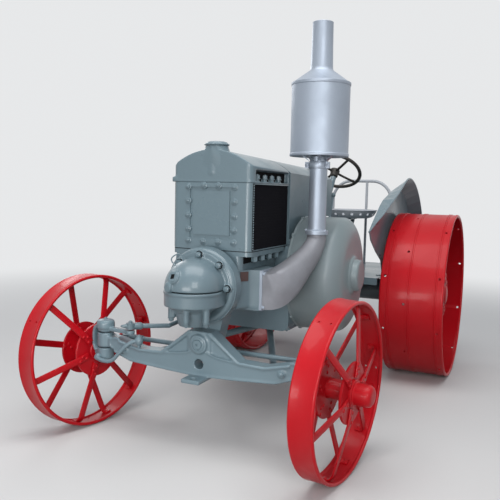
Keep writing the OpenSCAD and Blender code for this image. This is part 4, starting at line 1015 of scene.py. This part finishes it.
class TRACTOR_OT_front_wheels(bpy.types.Operator):
    """Builds the two spoked front wheels with their rivets and hub caps"""
    bl_idname = "tractor.front_wheels"
    bl_label = "Front wheels"

    TREAD_R, RIM_T, HALF_W, BEAD_R = 0.3975, 0.0075, 0.0575, 0.0085
    FLANGE_X, FLANGE_R = 0.056, 0.138
    SPOKES, SPOKE_W, SPOKE_T = 12, 0.034, 0.009
    STUB_L, AXLE_Z, CAMBER = 0.126, 0.40161, math.radians(1.8)
    TURN = {"left": 47, "right": 15}
    # The tread's pairs of holes alternate with pairs of rivets, from this one of the twelfths
    FIRST_HOLE = {"left": 0, "right": 2}
    bead_angles = (-25, 0, 30, 60, 90, 120, 150, 180, 215)

    def execute(self, context):
        for name, side in SIDES:
            place = knuckle_frame(name, side)
            place = place @ Matrix.Translation((side * self.STUB_L, 0, self.AXLE_Z))
            place = place @ Matrix.Rotation(side * self.CAMBER, 4, "Y")
            place = place @ Matrix.Diagonal((side, 1, 1, 1))
            place = place @ Matrix.Rotation(math.radians(self.TURN[name]), 4, "X")
            finish = "Red Enamel", "wheel_front_" + name, "paint_red"
            piece("front_wheel_spokes_" + name, self.middle(), *finish, place=place)
            rim = piece("front_rim_" + name, self.rim(self.FIRST_HOLE[name] + 2), *finish,
                        replaces=["front_wheel_" + name], place=place)
            cutter = bmesh.new()
            for spin, across in self.pairs(self.FIRST_HOLE[name]):
                spot = Matrix.Translation((across, 0, self.TREAD_R - 0.02))
                rod(cutter, 0.0052, 0, 0.03, place @ spin @ spot, 14)
            cut_holes(rim, cutter)
        return {"FINISHED"}

    def pairs(self, first):
        """The pairs round the tread: a turn to halfway before a spoke, and a place across."""
        return [(Matrix.Rotation(math.radians((i - 0.5) * 360 / self.SPOKES), 4, "X"), across)
                for i in range(first, self.SPOKES + first, 4) for across in (-0.026, 0.026)]

    def rim(self, first_rivet):
        """The rim about its own X axis, outer side towards +X, with rolled edges."""
        bm = bmesh.new()
        edge = self.HALF_W - self.BEAD_R
        middle, inner = self.TREAD_R + 0.002 - self.BEAD_R, self.TREAD_R - self.RIM_T
        rows = [(self.TREAD_R, h) for h in (-edge + 0.007, 0, edge - 0.007)]
        rows += on_arc((middle, edge), self.BEAD_R, self.bead_angles)
        rows += [(inner, edge - 0.009), (inner, -edge + 0.009)]
        rows += on_arc((middle, -edge), self.BEAD_R, [-a for a in self.bead_angles[::-1]])
        turned(bm, rows, ACROSS, 128, loop=True)
        for spin, across in self.pairs(first_rivet):
            rivet(bm, spin @ Vector((across, 0, self.TREAD_R - 0.0004)), spin @ Vector(UP),
                  radius=0.0085, height=0.0026)
        return bm

    def middle(self):
        """Hub, flanges, cap and spokes about the wheel's own X axis."""
        bm = bmesh.new()
        x, r = self.FLANGE_X, self.FLANGE_R
        for sign in (-1, 1):
            flange = ((0.040, x - 0.006), (r - 0.002, x - 0.006), (r, x - 0.004), (r, x + 0.003),
                      (r - 0.003, x + 0.006), (0.040, x + 0.006))
            turned(bm, [(radius, sign * h) for radius, h in flange], ACROSS, 64, loop=True)
        turned(bm, [(0.0242, -x - 0.010), (0.046, -x - 0.010), (0.052, -x - 0.004),
                    (0.046, -x + 0.012), (0.046, x - 0.012), (0.060, x - 0.004),
                    (0.062, x + 0.014), (0.059, x + 0.018), (0.0242, x + 0.018)],
               ACROSS, 48, loop=True)
        turned(bm, [(0.024, x + 0.016), (0.0525, x + 0.016), (0.0535, x + 0.020),
                    (0.0500, x + 0.024), (0.0495, x + 0.070), (0.0475, x + 0.082),
                    (0.0425, x + 0.091), (0.034, x + 0.0965), (0.022, x + 0.0978),
                    (0, x + 0.098)], ACROSS, 48)
        for i in range(self.SPOKES):
            spin = Matrix.Rotation(math.radians(i * 360 / self.SPOKES), 4, "X")
            self.spoke(bm, 1 if i % 2 == 0 else -1, spin)
        return bm

    def spoke(self, bm, sign, spin):
        """A flat spoke from the flange on one side to the rim's middle, with its rivets."""
        x = self.FLANGE_X + 0.006 + self.SPOKE_T / 2
        inner = self.TREAD_R - self.RIM_T
        run = ((x, 0.068), (x, 0.100), (x, 0.132), (x - 0.004, 0.146), (0.030, 0.360),
               (0.022, inner - 0.014), (0.014, inner - 0.006), (0.002, inner - 0.0045),
               (-0.018, inner - 0.0045))
        swept(bm, [spin @ Vector((sign * across, 0, up)) for across, up in run],
              rounded_rect(self.SPOKE_W, self.SPOKE_T, 0.003, 2), side=spin @ Vector(BACK))
        out = Vector((sign, 0, 0))
        for y, up in ((-0.008, 0.084), (0.008, 0.106), (-0.008, 0.126)):
            rivet(bm, spin @ Vector((sign * (x + self.SPOKE_T / 2), y, up)), out)
            rivet(bm, spin @ Vector((sign * (self.FLANGE_X - 0.006), y, up)), -out)
        rivet(bm, spin @ Vector((-sign * 0.006, 0, inner - 0.009)), spin @ Vector(DOWN),
              radius=0.007)


REAR_AXLE = (1.920, 0.565)


class TRACTOR_OT_rear_wheels(bpy.types.Operator):
    """Builds the two wide rear wheels with their ribs, holes and rivets"""
    bl_idname = "tractor.rear_wheels"
    bl_label = "Rear wheels"

    TREAD_R, INNER_X, OUTER_X = 0.5610, 0.535, 0.940
    HUB_R, FLANGE_R, BEAD_R = 0.080, 0.150, 0.0105
    HUB_INNER_X, HUB_OUTER_X = INNER_X + 0.004, OUTER_X - 0.070
    HOLES, SPOKES = 10, 8
    # Raised ribs round the tread, and the rows of holes: place across the rim from its inner
    # edge, and share of a step by which the row is turned
    ribs = (0.052, 0.185, 0.352)
    hole_rows = ((0.030, 0), (0.160, 0.5), (0.372, 0))
    bead_angles = (-20, 10, 40, 70, 100, 130, 160, 190, 225)

    def execute(self, context):
        for name, side in SIDES:
            place = standing(0, *REAR_AXLE) @ Matrix.Diagonal((side, 1, 1, 1))
            finish = "Red Enamel", "wheel_rear_" + name, "paint_red"
            rim = piece("rear_rim_" + name, self.rim(), *finish, place=place,
                        replaces=["rear_wheel_" + name])
            cut_holes(rim, self.hole_cutter(place))
            piece("rear_wheel_middle_" + name, self.middle(), *finish, place=place)
        return {"FINISHED"}

    def rim(self):
        bm = bmesh.new()
        width = self.OUTER_X - self.INNER_X
        r, bead = self.TREAD_R, self.BEAD_R
        rows = [(r, 0.016)]
        for x in self.ribs:
            rows += [(r, x - 0.010), (r + 0.0035, x - 0.0085), (r + 0.0035, x - 0.0015),
                     (r + 0.0008, x), (r + 0.0035, x + 0.0015), (r + 0.0035, x + 0.0085),
                     (r, x + 0.010)]
        rows.append((r, width - 0.016))
        rows += on_arc((r - bead + 0.0035, width - bead - 0.001), bead, self.bead_angles)
        rows += [(r - 0.010, width - 0.026), (r - 0.010, 0.026)]
        rows += on_arc((r - bead + 0.0035, bead + 0.001), bead,
                       [-a for a in self.bead_angles[::-1]])
        turned(bm, rows, along(Vector((self.INNER_X, 0, 0)), LEFT), 144, loop=True)
        return bm

    def hole_cutter(self, place):
        bm = bmesh.new()
        for across, phase in self.hole_rows:
            for i in range(self.HOLES):
                a = math.radians(18 + 36 * (i + phase))
                out = Vector((0, -math.cos(a), math.sin(a)))
                spot = Vector((self.INNER_X + across, 0, 0)) + out * (self.TREAD_R - 0.02)
                rod(bm, 0.0085, 0, 0.03, along(spot, out), 14)
        bmesh.ops.transform(bm, matrix=place, verts=bm.verts)
        return bm

    def middle(self):
        """Hub, cap, flanges, the band inside the rim and two rows of spokes."""
        bm = bmesh.new()
        hub0, hub1, r = self.HUB_INNER_X, self.HUB_OUTER_X, self.HUB_R
        inner = self.TREAD_R - 0.010
        turned(bm, [(0.0422, hub0), (r, hub0), (r + 0.004, hub0 + 0.006), (r, hub0 + 0.030),
                    (r - 0.006, (hub0 + hub1) / 2), (r, hub1 - 0.030), (r, hub1),
                    (0.0422, hub1)], ACROSS, 48, loop=True)
        turned(bm, [(0.0, hub1 + 0.020), (0.030, hub1 + 0.020), (0.052, hub1 + 0.017),
                    (0.062, hub1 + 0.008), (0.064, hub1 - 0.002), (0.0425, hub1 - 0.002),
                    (0.0425, hub1 + 0.001), (0, hub1 + 0.001)], ACROSS, 48)
        band = self.INNER_X + 0.17, self.INNER_X + 0.235
        turned(bm, [(inner + 0.001, band[0]), (inner - 0.008, band[0]), (inner - 0.008, band[1]),
                    (inner + 0.001, band[1])], ACROSS, 96, loop=True)
        r = self.FLANGE_R
        for row, sign, x in ((0, -1, hub0 + 0.020), (1, 1, hub1 - 0.020)):
            turned(bm, [(0.075, x - 0.009), (r - 0.002, x - 0.009), (r, x - 0.007),
                        (r, x + 0.007), (r - 0.002, x + 0.009), (0.075, x + 0.009)], ACROSS, 64,
                   loop=True)
            for i in range(self.SPOKES):
                spin = Matrix.Rotation(math.radians((i + row / 2) * 360 / self.SPOKES), 4, "X")
                self.spoke(bm, spin, sign, x + sign * 0.015, inner)
        return bm

    def spoke(self, bm, spin, sign, foot, inner):
        """A flat spoke from a flange's outer face to the rim's middle, with its rivets."""
        rim_x = (self.INNER_X + self.OUTER_X) / 2 + sign * 0.026
        run = ((foot, 0.086), (foot, 0.150), (foot - sign * 0.010, 0.172),
               (rim_x + sign * 0.012, inner - 0.050), (rim_x, inner - 0.020),
               (rim_x - sign * 0.012, inner - 0.012), (rim_x - sign * 0.040, inner - 0.012))
        swept(bm, [spin @ Vector((x, 0, up)) for x, up in run],
              rounded_rect(0.070, 0.011, 0.004, 2), side=spin @ Vector(BACK))
        for y in (-0.018, 0.018):
            for up in (0.100, 0.134):
                rivet(bm, spin @ Vector((foot + sign * 0.0055, y, up)), (sign, 0, 0),
                      radius=0.009)


class TRACTOR_OT_steering(bpy.types.Operator):
    """Builds the steering wheel, its box's fittings and the rods' ends"""
    bl_idname = "tractor.steering"
    bl_label = "Steering"

    HUB, LEAN = (0.120, 1.660, 1.416), math.radians(37)
    RIM_R, RIM_T, RIM_STEPS = 0.177, 0.0125, 14
    GEARBOX_TOP_Z, BOX_TOP_Z = 0.900, 0.990
    spoke_rows = ((0.020, -0.008), (0.060, -0.009), (0.120, -0.006), (0.172, -0.001))
    # The tie rod's arms: length, angle at rest and height. The drag link's arm is like
    # them, with the front eye's x and z and the place of the rod's first bend.
    TIE_ARM, TIE_ANGLE, TIE_Z = 0.150, math.radians(-8.7), 0.458
    DRAG_ARM, DRAG_ANGLE = 0.172, math.radians(-6.7)
    EYE_X, EYE_Z, DRAG_BEND = -0.4052, 0.564, (-0.265, 0.110, 0.556)

    def execute(self, context):
        self.wheel()
        box, ends, link = bmesh.new(), bmesh.new(), bmesh.new()
        x, y, z = self.HUB
        foot_y = y - (z - self.GEARBOX_TOP_Z) * math.tan(self.LEAN)
        bolts(box, [at(bolt_x, foot_y + back, self.BOX_TOP_Z) for bolt_x in (0.052, 0.168)
                    for back in (-0.030, 0.120)], UP, radius=0.009)
        lean = Vector((0, math.sin(self.LEAN), math.cos(self.LEAN)))
        turned(box, [(0.030, 0), (0.034, 0.002), (0.034, 0.026), (0.026, 0.040), (0.020, 0.042)],
               along(at(x, foot_y + 0.062, self.BOX_TOP_Z - 0.005), lean), 28)
        piece("steering_box_fittings", box, *GREY)

        for side in (-1, 1):
            x = side * (KINGPIN[0] - 0.075) - self.TIE_ARM * math.sin(self.TIE_ANGLE)
            y = KINGPIN[1] + self.TIE_ARM * math.cos(self.TIE_ANGLE)
            turned(ends, [(0.0135, -0.035), (0.0175, -0.033), (0.0175, 0.033), (0.0135, 0.035)],
                   along(at(x, y, self.TIE_Z), LEFT), 20)
        piece("tie_rod_sockets", ends, "Grey Enamel", "tie_rod", "paint_grey")

        eye_y = KINGPIN[1] + self.DRAG_ARM * math.sin(self.DRAG_ANGLE)
        eye = at(self.EYE_X, eye_y, self.EYE_Z)
        place = along(eye, (at(*self.DRAG_BEND) - eye).normalized())
        turned(link, [(0.0125, 0.016), (0.0175, 0.020), (0.0185, 0.050), (0.0165, 0.058),
                      (0.0125, 0.062)], place, 20)
        bolt(link, eye + Vector((0, 0, 0.015)), UP, radius=0.011, height=0.010)
        turned(link, [(0, -0.052), (0.006, -0.046), (0.010, -0.030), (0.013, -0.018)], place, 14)
        piece("drag_link_ball_end", link, "Grey Enamel", "drag_link", "paint_grey")
        return {"FINISHED"}

    def wheel(self):
        bm = bmesh.new()
        hub = standing(*self.HUB) @ Matrix.Rotation(-self.LEAN, 4, "X")
        up = hub.to_3x3() @ Vector(UP)
        turned(bm, [(self.RIM_R + x, 0.9 * y) for x, y in
                    circle_points(self.RIM_T, self.RIM_STEPS)], hub, 72, loop=True)
        turned(bm, [(0.010, -0.050), (0.024, -0.050), (0.028, -0.044), (0.028, -0.012),
                    (0.034, -0.004), (0.034, 0.004), (0.024, 0.010), (0.016, 0.012),
                    (0, 0.012)], hub, 32)
        rod(bm, 0.010, -0.150, -0.030, hub, 20)
        oval = [(u, v * 1.25) for u, v in circle_points(0.0075, 12)]
        for x, y in between(1.0, 4):
            swept(bm, [hub @ Vector((r * x, r * y, h)) for r, h in self.spoke_rows], oval,
                  side=up)
        bolt(bm, hub @ Vector((0, 0, 0.011)), up, radius=0.010, height=0.006)
        piece("steering_wheel_rim", bm, "Dark Steel", "steering_wheel", "dark_steel",
              replaces=["steering_wheel"])


class TRACTOR_OT_driver_place(bpy.types.Operator):
    """Builds the seat pan, the fenders' rolled edges and the gearbox's fittings"""
    bl_idname = "tractor.driver_place"
    bl_label = "Driver's place"

    SEAT = (0.120, 2.090, 1.075)
    seat_rows = (  # radius and height of the pan's skin, out underneath and back on top
        (0, 0), (0.080, -0.003), (0.140, 0.000), (0.164, 0.008), (0.182, 0.023), (0.194, 0.042),
        (0.200, 0.056), (0.2045, 0.058), (0.2045, 0.0615), (0.200, 0.0635), (0.1955, 0.0595),
        (0.189, 0.043), (0.178, 0.027), (0.160, 0.013), (0.136, 0.0055), (0.080, 0.0025),
        (0, 0.0055))
    RIM_HOLE_R, RIM_HOLES, FLOOR_HOLE_R = 0.0105, 18, 0.0085
    floor_holes = circle_points(0.100, 10) + circle_points(0.050, 5)
    FENDER_X, GEARBOX_HALF, HOUSING_X = 0.500, 0.190, 0.230
    fender_edge = (  # y, width of the top sheet, height of its outer edge, from the rear axle
        (-0.740, 0.004, 0.463), (-0.670, 0.030, 0.520), (-0.585, 0.050, 0.566),
        (-0.470, 0.065, 0.624), (-0.398, 0.080, 0.668), (-0.307, 0.088, 0.708),
        (-0.245, 0.092, 0.738), (-0.141, 0.097, 0.786), (-0.060, 0.100, 0.810),
        (0.020, 0.100, 0.812), (0.100, 0.100, 0.802), (0.180, 0.100, 0.782),
        (0.260, 0.100, 0.752), (0.340, 0.100, 0.710), (0.420, 0.100, 0.656),
        (0.500, 0.100, 0.586), (0.560, 0.100, 0.514))
    fender_rivets = ((-0.55, 0.44), (-0.40, 0.52), (-0.20, 0.58), (0.0, 0.60), (0.20, 0.57),
                     (0.38, 0.50))

    def execute(self, context):
        self.seat()
        self.fender_trim()
        self.gearbox_trim()
        return {"FINISHED"}

    def seat(self):
        bm, cutter = bmesh.new(), bmesh.new()
        place = standing(*self.SEAT)
        turned(bm, self.seat_rows, place, 96)
        pan = piece("seat_pan", bm, "Pale Enamel", "chassis", "paint_grey", replaces=["seat"],
                    sharp=60)
        for x, y in between(1.0, self.RIM_HOLES):
            rod(cutter, self.RIM_HOLE_R, 0, 0.08,
                along(place @ Vector((0.220 * x, 0.220 * y, 0.012)), (-x, -y, 0.6)), 16)
        for x, y in self.floor_holes:
            rod(cutter, self.FLOOR_HOLE_R, -0.03, 0.03,
                place @ Matrix.Translation((x, y, 0)), 14)
        cut_holes(pan, cutter)

    def fender_trim(self):
        bm = bmesh.new()
        rear_y, rear_z = REAR_AXLE
        for side in (-1, 1):
            edge = [at(side * (self.FENDER_X + w - 0.003), rear_y + y, rear_z + z - 0.003)
                    for y, w, z in self.fender_edge]
            tube(bm, smooth_path(edge, 2), 0.0055, 10)
            for y, z in self.fender_rivets:
                rivet(bm, at(side * self.FENDER_X, rear_y + y, rear_z + z), (-side, 0, 0),
                      radius=0.006)
            # the angle that ties the fender to the platform
            side_slab(bm, side, (0.455, 1.60, 0.7065), (0.4995, 2.30, 0.7105))
            side_slab(bm, side, (0.4945, 1.60, 0.7065), (0.4995, 2.30, 0.750))
            bolts(bm, [at(side * 0.4945, 1.66 + 0.14 * i, 0.733) for i in range(5)],
                  (-side, 0, 0), radius=0.007, washer=False)
        piece("fender_edges", bm, *SHEET)

    def gearbox_trim(self):
        bm = bmesh.new()
        rear_y, rear_z = REAR_AXLE
        for side in (-1, 1):
            out = (side, 0, 0)
            # the flange between crankcase and gearbox, and the ring round the axle housing
            near, far = side * self.GEARBOX_HALF, side * self.HOUSING_X
            bolts(bm, [at(near, 1.115, 0.48 + 0.09 * i) for i in range(5)], out, radius=0.009)
            bolts(bm, [at(far, rear_y + y, rear_z + z) for y, z in between(0.100, 8)], out,
                  radius=0.009)
            self.cover(bm, along(at(near, 1.56, 0.66), out), out, (0.26, 0.20, 0.03),
                       thickness=0.009, columns=(-0.11, 0, 0.11), rows=(-0.08, 0.08),
                       radius=0.008)
        # the cover on the back and the drawbar's bolts under it, then the top cover
        self.cover(bm, along(at(0, 2.110, 0.745), BACK), BACK, (0.28, 0.22, 0.03),
                   thickness=0.010, columns=(-0.12, 0, 0.12), rows=(-0.09, 0.09),
                   radius=0.009)
        bolts(bm, [at(x, 2.136, z) for x in (-0.125, 0.125) for z in (0.470, 0.530, 0.590)],
              BACK, radius=0.011)
        self.cover(bm, standing(-0.02, 1.83, 0.899), UP, (0.22, 0.30, 0.02),
                   thickness=0.009, columns=(-0.095, 0.095), rows=(-0.13, 0, 0.13),
                   radius=0.008)
        piece("gearbox_fittings", bm, *GREY)

    def cover(self, bm, place, direction, outline, thickness, columns, rows, radius):
        """A plate with its width, length and corner radius, bolted at columns and rows."""
        prism(bm, rounded_rect(*outline), place, thickness)
        bolts(bm, [place @ Vector((x, y, thickness)) for x in columns for y in rows], direction,
              radius=radius)


class TRACTOR_OT_bare_castings(bpy.types.Operator):
    """Breaks the sharp edges of the CAD nodes that stay in view"""
    bl_idname = "tractor.bare_castings"
    bl_label = "Bare castings"

    THIN_EDGE = 0.0012
    thin = ("fender_left", "fender_right", "platform", "guard_rail", "control_levers",
            "drag_link", "tie_rod")
    wide = {"cylinder": 0.005, "crankcase": 0.006, "fuel_tank": 0.006, "gearbox": 0.006}
    finishes = {"guard_rail": "Pale Enamel", "fender_left": "Grey Sheet",
                "fender_right": "Grey Sheet", "platform": "Grey Sheet",
                "fuel_tank": "Grey Sheet", "radiator_case": "Grey Sheet"}

    def execute(self, context):
        edge = context.scene.tractor_sizes.edge
        for name, obj in NODES.items():
            if obj.hide_render:
                continue
            if name in self.finishes:
                obj.data.materials[0] = bpy.data.materials[self.finishes[name]]
            soften(obj, self.THIN_EDGE if name in self.thin else self.wide.get(name, edge))
        return {"FINISHED"}


# The stage

# The photograph's camera, fitted to the wheels: angles in radians
CAMERA_POINT = (1.4503, -2.6056, 1.2588)
CAMERA_YAW, CAMERA_PITCH, CAMERA_ROLL = 0.4342, -0.0936, 0.0218
FOCAL_PIXELS, PHOTO_PIXELS = 622.24, 500
SENSOR_MM = 36.0

BACKDROP = (0.80, 0.81, 0.82, 1)
FLOOR_REACH = 40.0
FADE_START, FADE_END = 2.6, 7.0
LAMPS = (  # name, place, aim, size, power
    ("Roof light", (0.6, -1.6, 5.0), (0, -0.2, 0.8), (4.5, 3), 180),
    ("Front light", (3.2, -5.6, 2.6), (0.2, -0.6, 0.9), (2.2, 2.2), 115),
    ("Low light", (0.3, -5.6, 0.9), (0, -1.0, 0.3), (2.6, 1.0), 85),
    ("Rim light", (-4.0, 2.5, 3.5), (0, 0, 1.0), (3, 2), 55))


def photo_camera():
    yaw, pitch, roll = CAMERA_YAW, CAMERA_PITCH, CAMERA_ROLL
    forward = Vector((-math.sin(yaw) * math.cos(pitch), math.cos(yaw) * math.cos(pitch),
                      math.sin(pitch)))
    right = Vector((math.cos(yaw), math.sin(yaw), 0))
    up = right.cross(forward)
    tilted_right = math.cos(roll) * right + math.sin(roll) * up
    tilted_up = -math.sin(roll) * right + math.cos(roll) * up
    data = bpy.data.cameras.new("Photo camera")
    data.sensor_width = SENSOR_MM
    data.lens = FOCAL_PIXELS / PHOTO_PIXELS * SENSOR_MM
    camera = bpy.data.objects.new("Photo camera", data)
    turn = Matrix((tilted_right, tilted_up, -forward)).transposed()
    camera.matrix_world = standing(*CAMERA_POINT) @ turn.to_4x4()
    bpy.context.scene.collection.objects.link(camera)
    bpy.context.scene.camera = camera


def area_lamp(name, place, aim, size, power):
    data = bpy.data.lights.new(name, "AREA")
    data.shape, data.size, data.size_y = "RECTANGLE", size[0], size[1]
    data.energy = power
    lamp = bpy.data.objects.new(name, data)
    lamp.location = place
    lamp.rotation_euler = (Vector(aim) - Vector(place)).to_track_quat("-Z", "Y").to_euler()
    bpy.context.scene.collection.objects.link(lamp)


def seen_rays(tree):
    """A value that is 1 for what the camera, a mirror or glass sees, and 0 for other light."""
    rays = add_node(tree, "ShaderNodeLightPath").outputs
    direct = combine(tree, "MAXIMUM", rays["Is Camera Ray"], rays["Is Glossy Ray"])
    return combine(tree, "MAXIMUM", direct, rays["Is Transmission Ray"])


def mix_surfaces(tree, output, share, first, second):
    """Mixes two shaders by a share and gives the result to the tree's output."""
    mix = add_node(tree, "ShaderNodeMixShader", {0: share, 1: first, 2: second})
    tree.links.new(mix.outputs["Shader"], tree.nodes[output].inputs["Surface"])


def pale_floor_material():
    """A pale matt floor that fades into the backdrop and throws little light back up."""
    material = bpy.data.materials.new("Pale Floor")
    material.use_nodes = True
    tree = material.node_tree
    surface = tree.nodes["Principled BSDF"]
    seen = seen_rays(tree)
    tone = blend(tree, seen, (0.26, 0.25, 0.235, 1), (0.62, 0.615, 0.605, 1))
    for label, value in (("Base Color", tone), ("Roughness", 0.8), ("Specular IOR Level", 0.2)):
        feed(tree, surface.inputs[label], value)
    place = add_node(tree, "ShaderNodeTexCoord").outputs["Object"]
    away = add_node(tree, "ShaderNodeVectorMath", {0: place}, operation="LENGTH")
    fade = ramp(tree, away.outputs["Value"], FADE_START, FADE_END,
                interpolation_type="SMOOTHSTEP")
    glow = add_node(tree, "ShaderNodeEmission", {"Color": BACKDROP})
    mix_surfaces(tree, "Material Output", combine(tree, "MULTIPLY", fade, seen),
                 surface.outputs["BSDF"], glow.outputs["Emission"])
    return material


def studio_world():
    """Soft even light, with the pale backdrop where the camera sees past the floor."""
    world = bpy.data.worlds.new("Studio")
    world.use_nodes = True
    tree = world.node_tree
    light = tree.nodes["Background"]
    feed(tree, light.inputs["Color"], (0.84, 0.90, 1.0, 1))
    feed(tree, light.inputs["Strength"], 0.36)
    backdrop = add_node(tree, "ShaderNodeBackground", {"Color": BACKDROP, "Strength": 1.0})
    mix_surfaces(tree, "World Output", seen_rays(tree), light.outputs["Background"],
                 backdrop.outputs["Background"])
    return world


class TRACTOR_OT_stage(bpy.types.Operator):
    """Adds the camera, the floor and the soft lamps"""
    bl_idname = "tractor.stage"
    bl_label = "Stage"

    def execute(self, context):
        photo_camera()
        scene = context.scene
        scene.view_settings.view_transform = "Standard"
        reach = FLOOR_REACH
        floor_mesh = bpy.data.meshes.new("Floor")
        floor_mesh.from_pydata([(-reach, -reach, 0), (reach, -reach, 0), (reach, reach, 0),
                                (-reach, reach, 0)], [], [(0, 1, 2, 3)])
        floor_mesh.materials.append(pale_floor_material())
        floor = bpy.data.objects.new("Floor", floor_mesh)
        scene.collection.objects.link(floor)
        scene.world = studio_world()
        for row in LAMPS:
            area_lamp(*row)
        return {"FINISHED"}


class TRACTOR_PT_panel(bpy.types.Panel):
    bl_label = "Tractor"
    bl_idname = "TRACTOR_PT_panel"
    bl_space_type = "VIEW_3D"
    bl_region_type = "UI"
    bl_category = "Tractor"

    def draw(self, context):
        layout = self.layout
        for group in (context.scene.tractor_paints, context.scene.tractor_sizes):
            for key in group.__annotations__:
                layout.prop(group, key)
        for operator in OPERATORS:
            layout.operator(operator.bl_idname)


OPERATORS = (
    TRACTOR_OT_materials, TRACTOR_OT_head, TRACTOR_OT_radiator, TRACTOR_OT_exhaust,
    TRACTOR_OT_engine_sides, TRACTOR_OT_front_axle, TRACTOR_OT_front_wheels,
    TRACTOR_OT_rear_wheels, TRACTOR_OT_steering, TRACTOR_OT_driver_place,
    TRACTOR_OT_bare_castings, TRACTOR_OT_stage)
CLASSES = (TractorPaints, TractorSizes) + OPERATORS + (TRACTOR_PT_panel,)


def register():
    for cls in CLASSES:
        bpy.utils.register_class(cls)
    bpy.types.Scene.tractor_paints = PointerProperty(type=TractorPaints)
    bpy.types.Scene.tractor_sizes = PointerProperty(type=TractorSizes)


def unregister():
    del bpy.types.Scene.tractor_sizes
    del bpy.types.Scene.tractor_paints
    for cls in reversed(CLASSES):
        bpy.utils.unregister_class(cls)


def main():
    register()
    for operator in OPERATORS:
        category, name = operator.bl_idname.split(".")
        getattr(getattr(bpy.ops, category), name)()


if __name__ == "__main__":
    main()
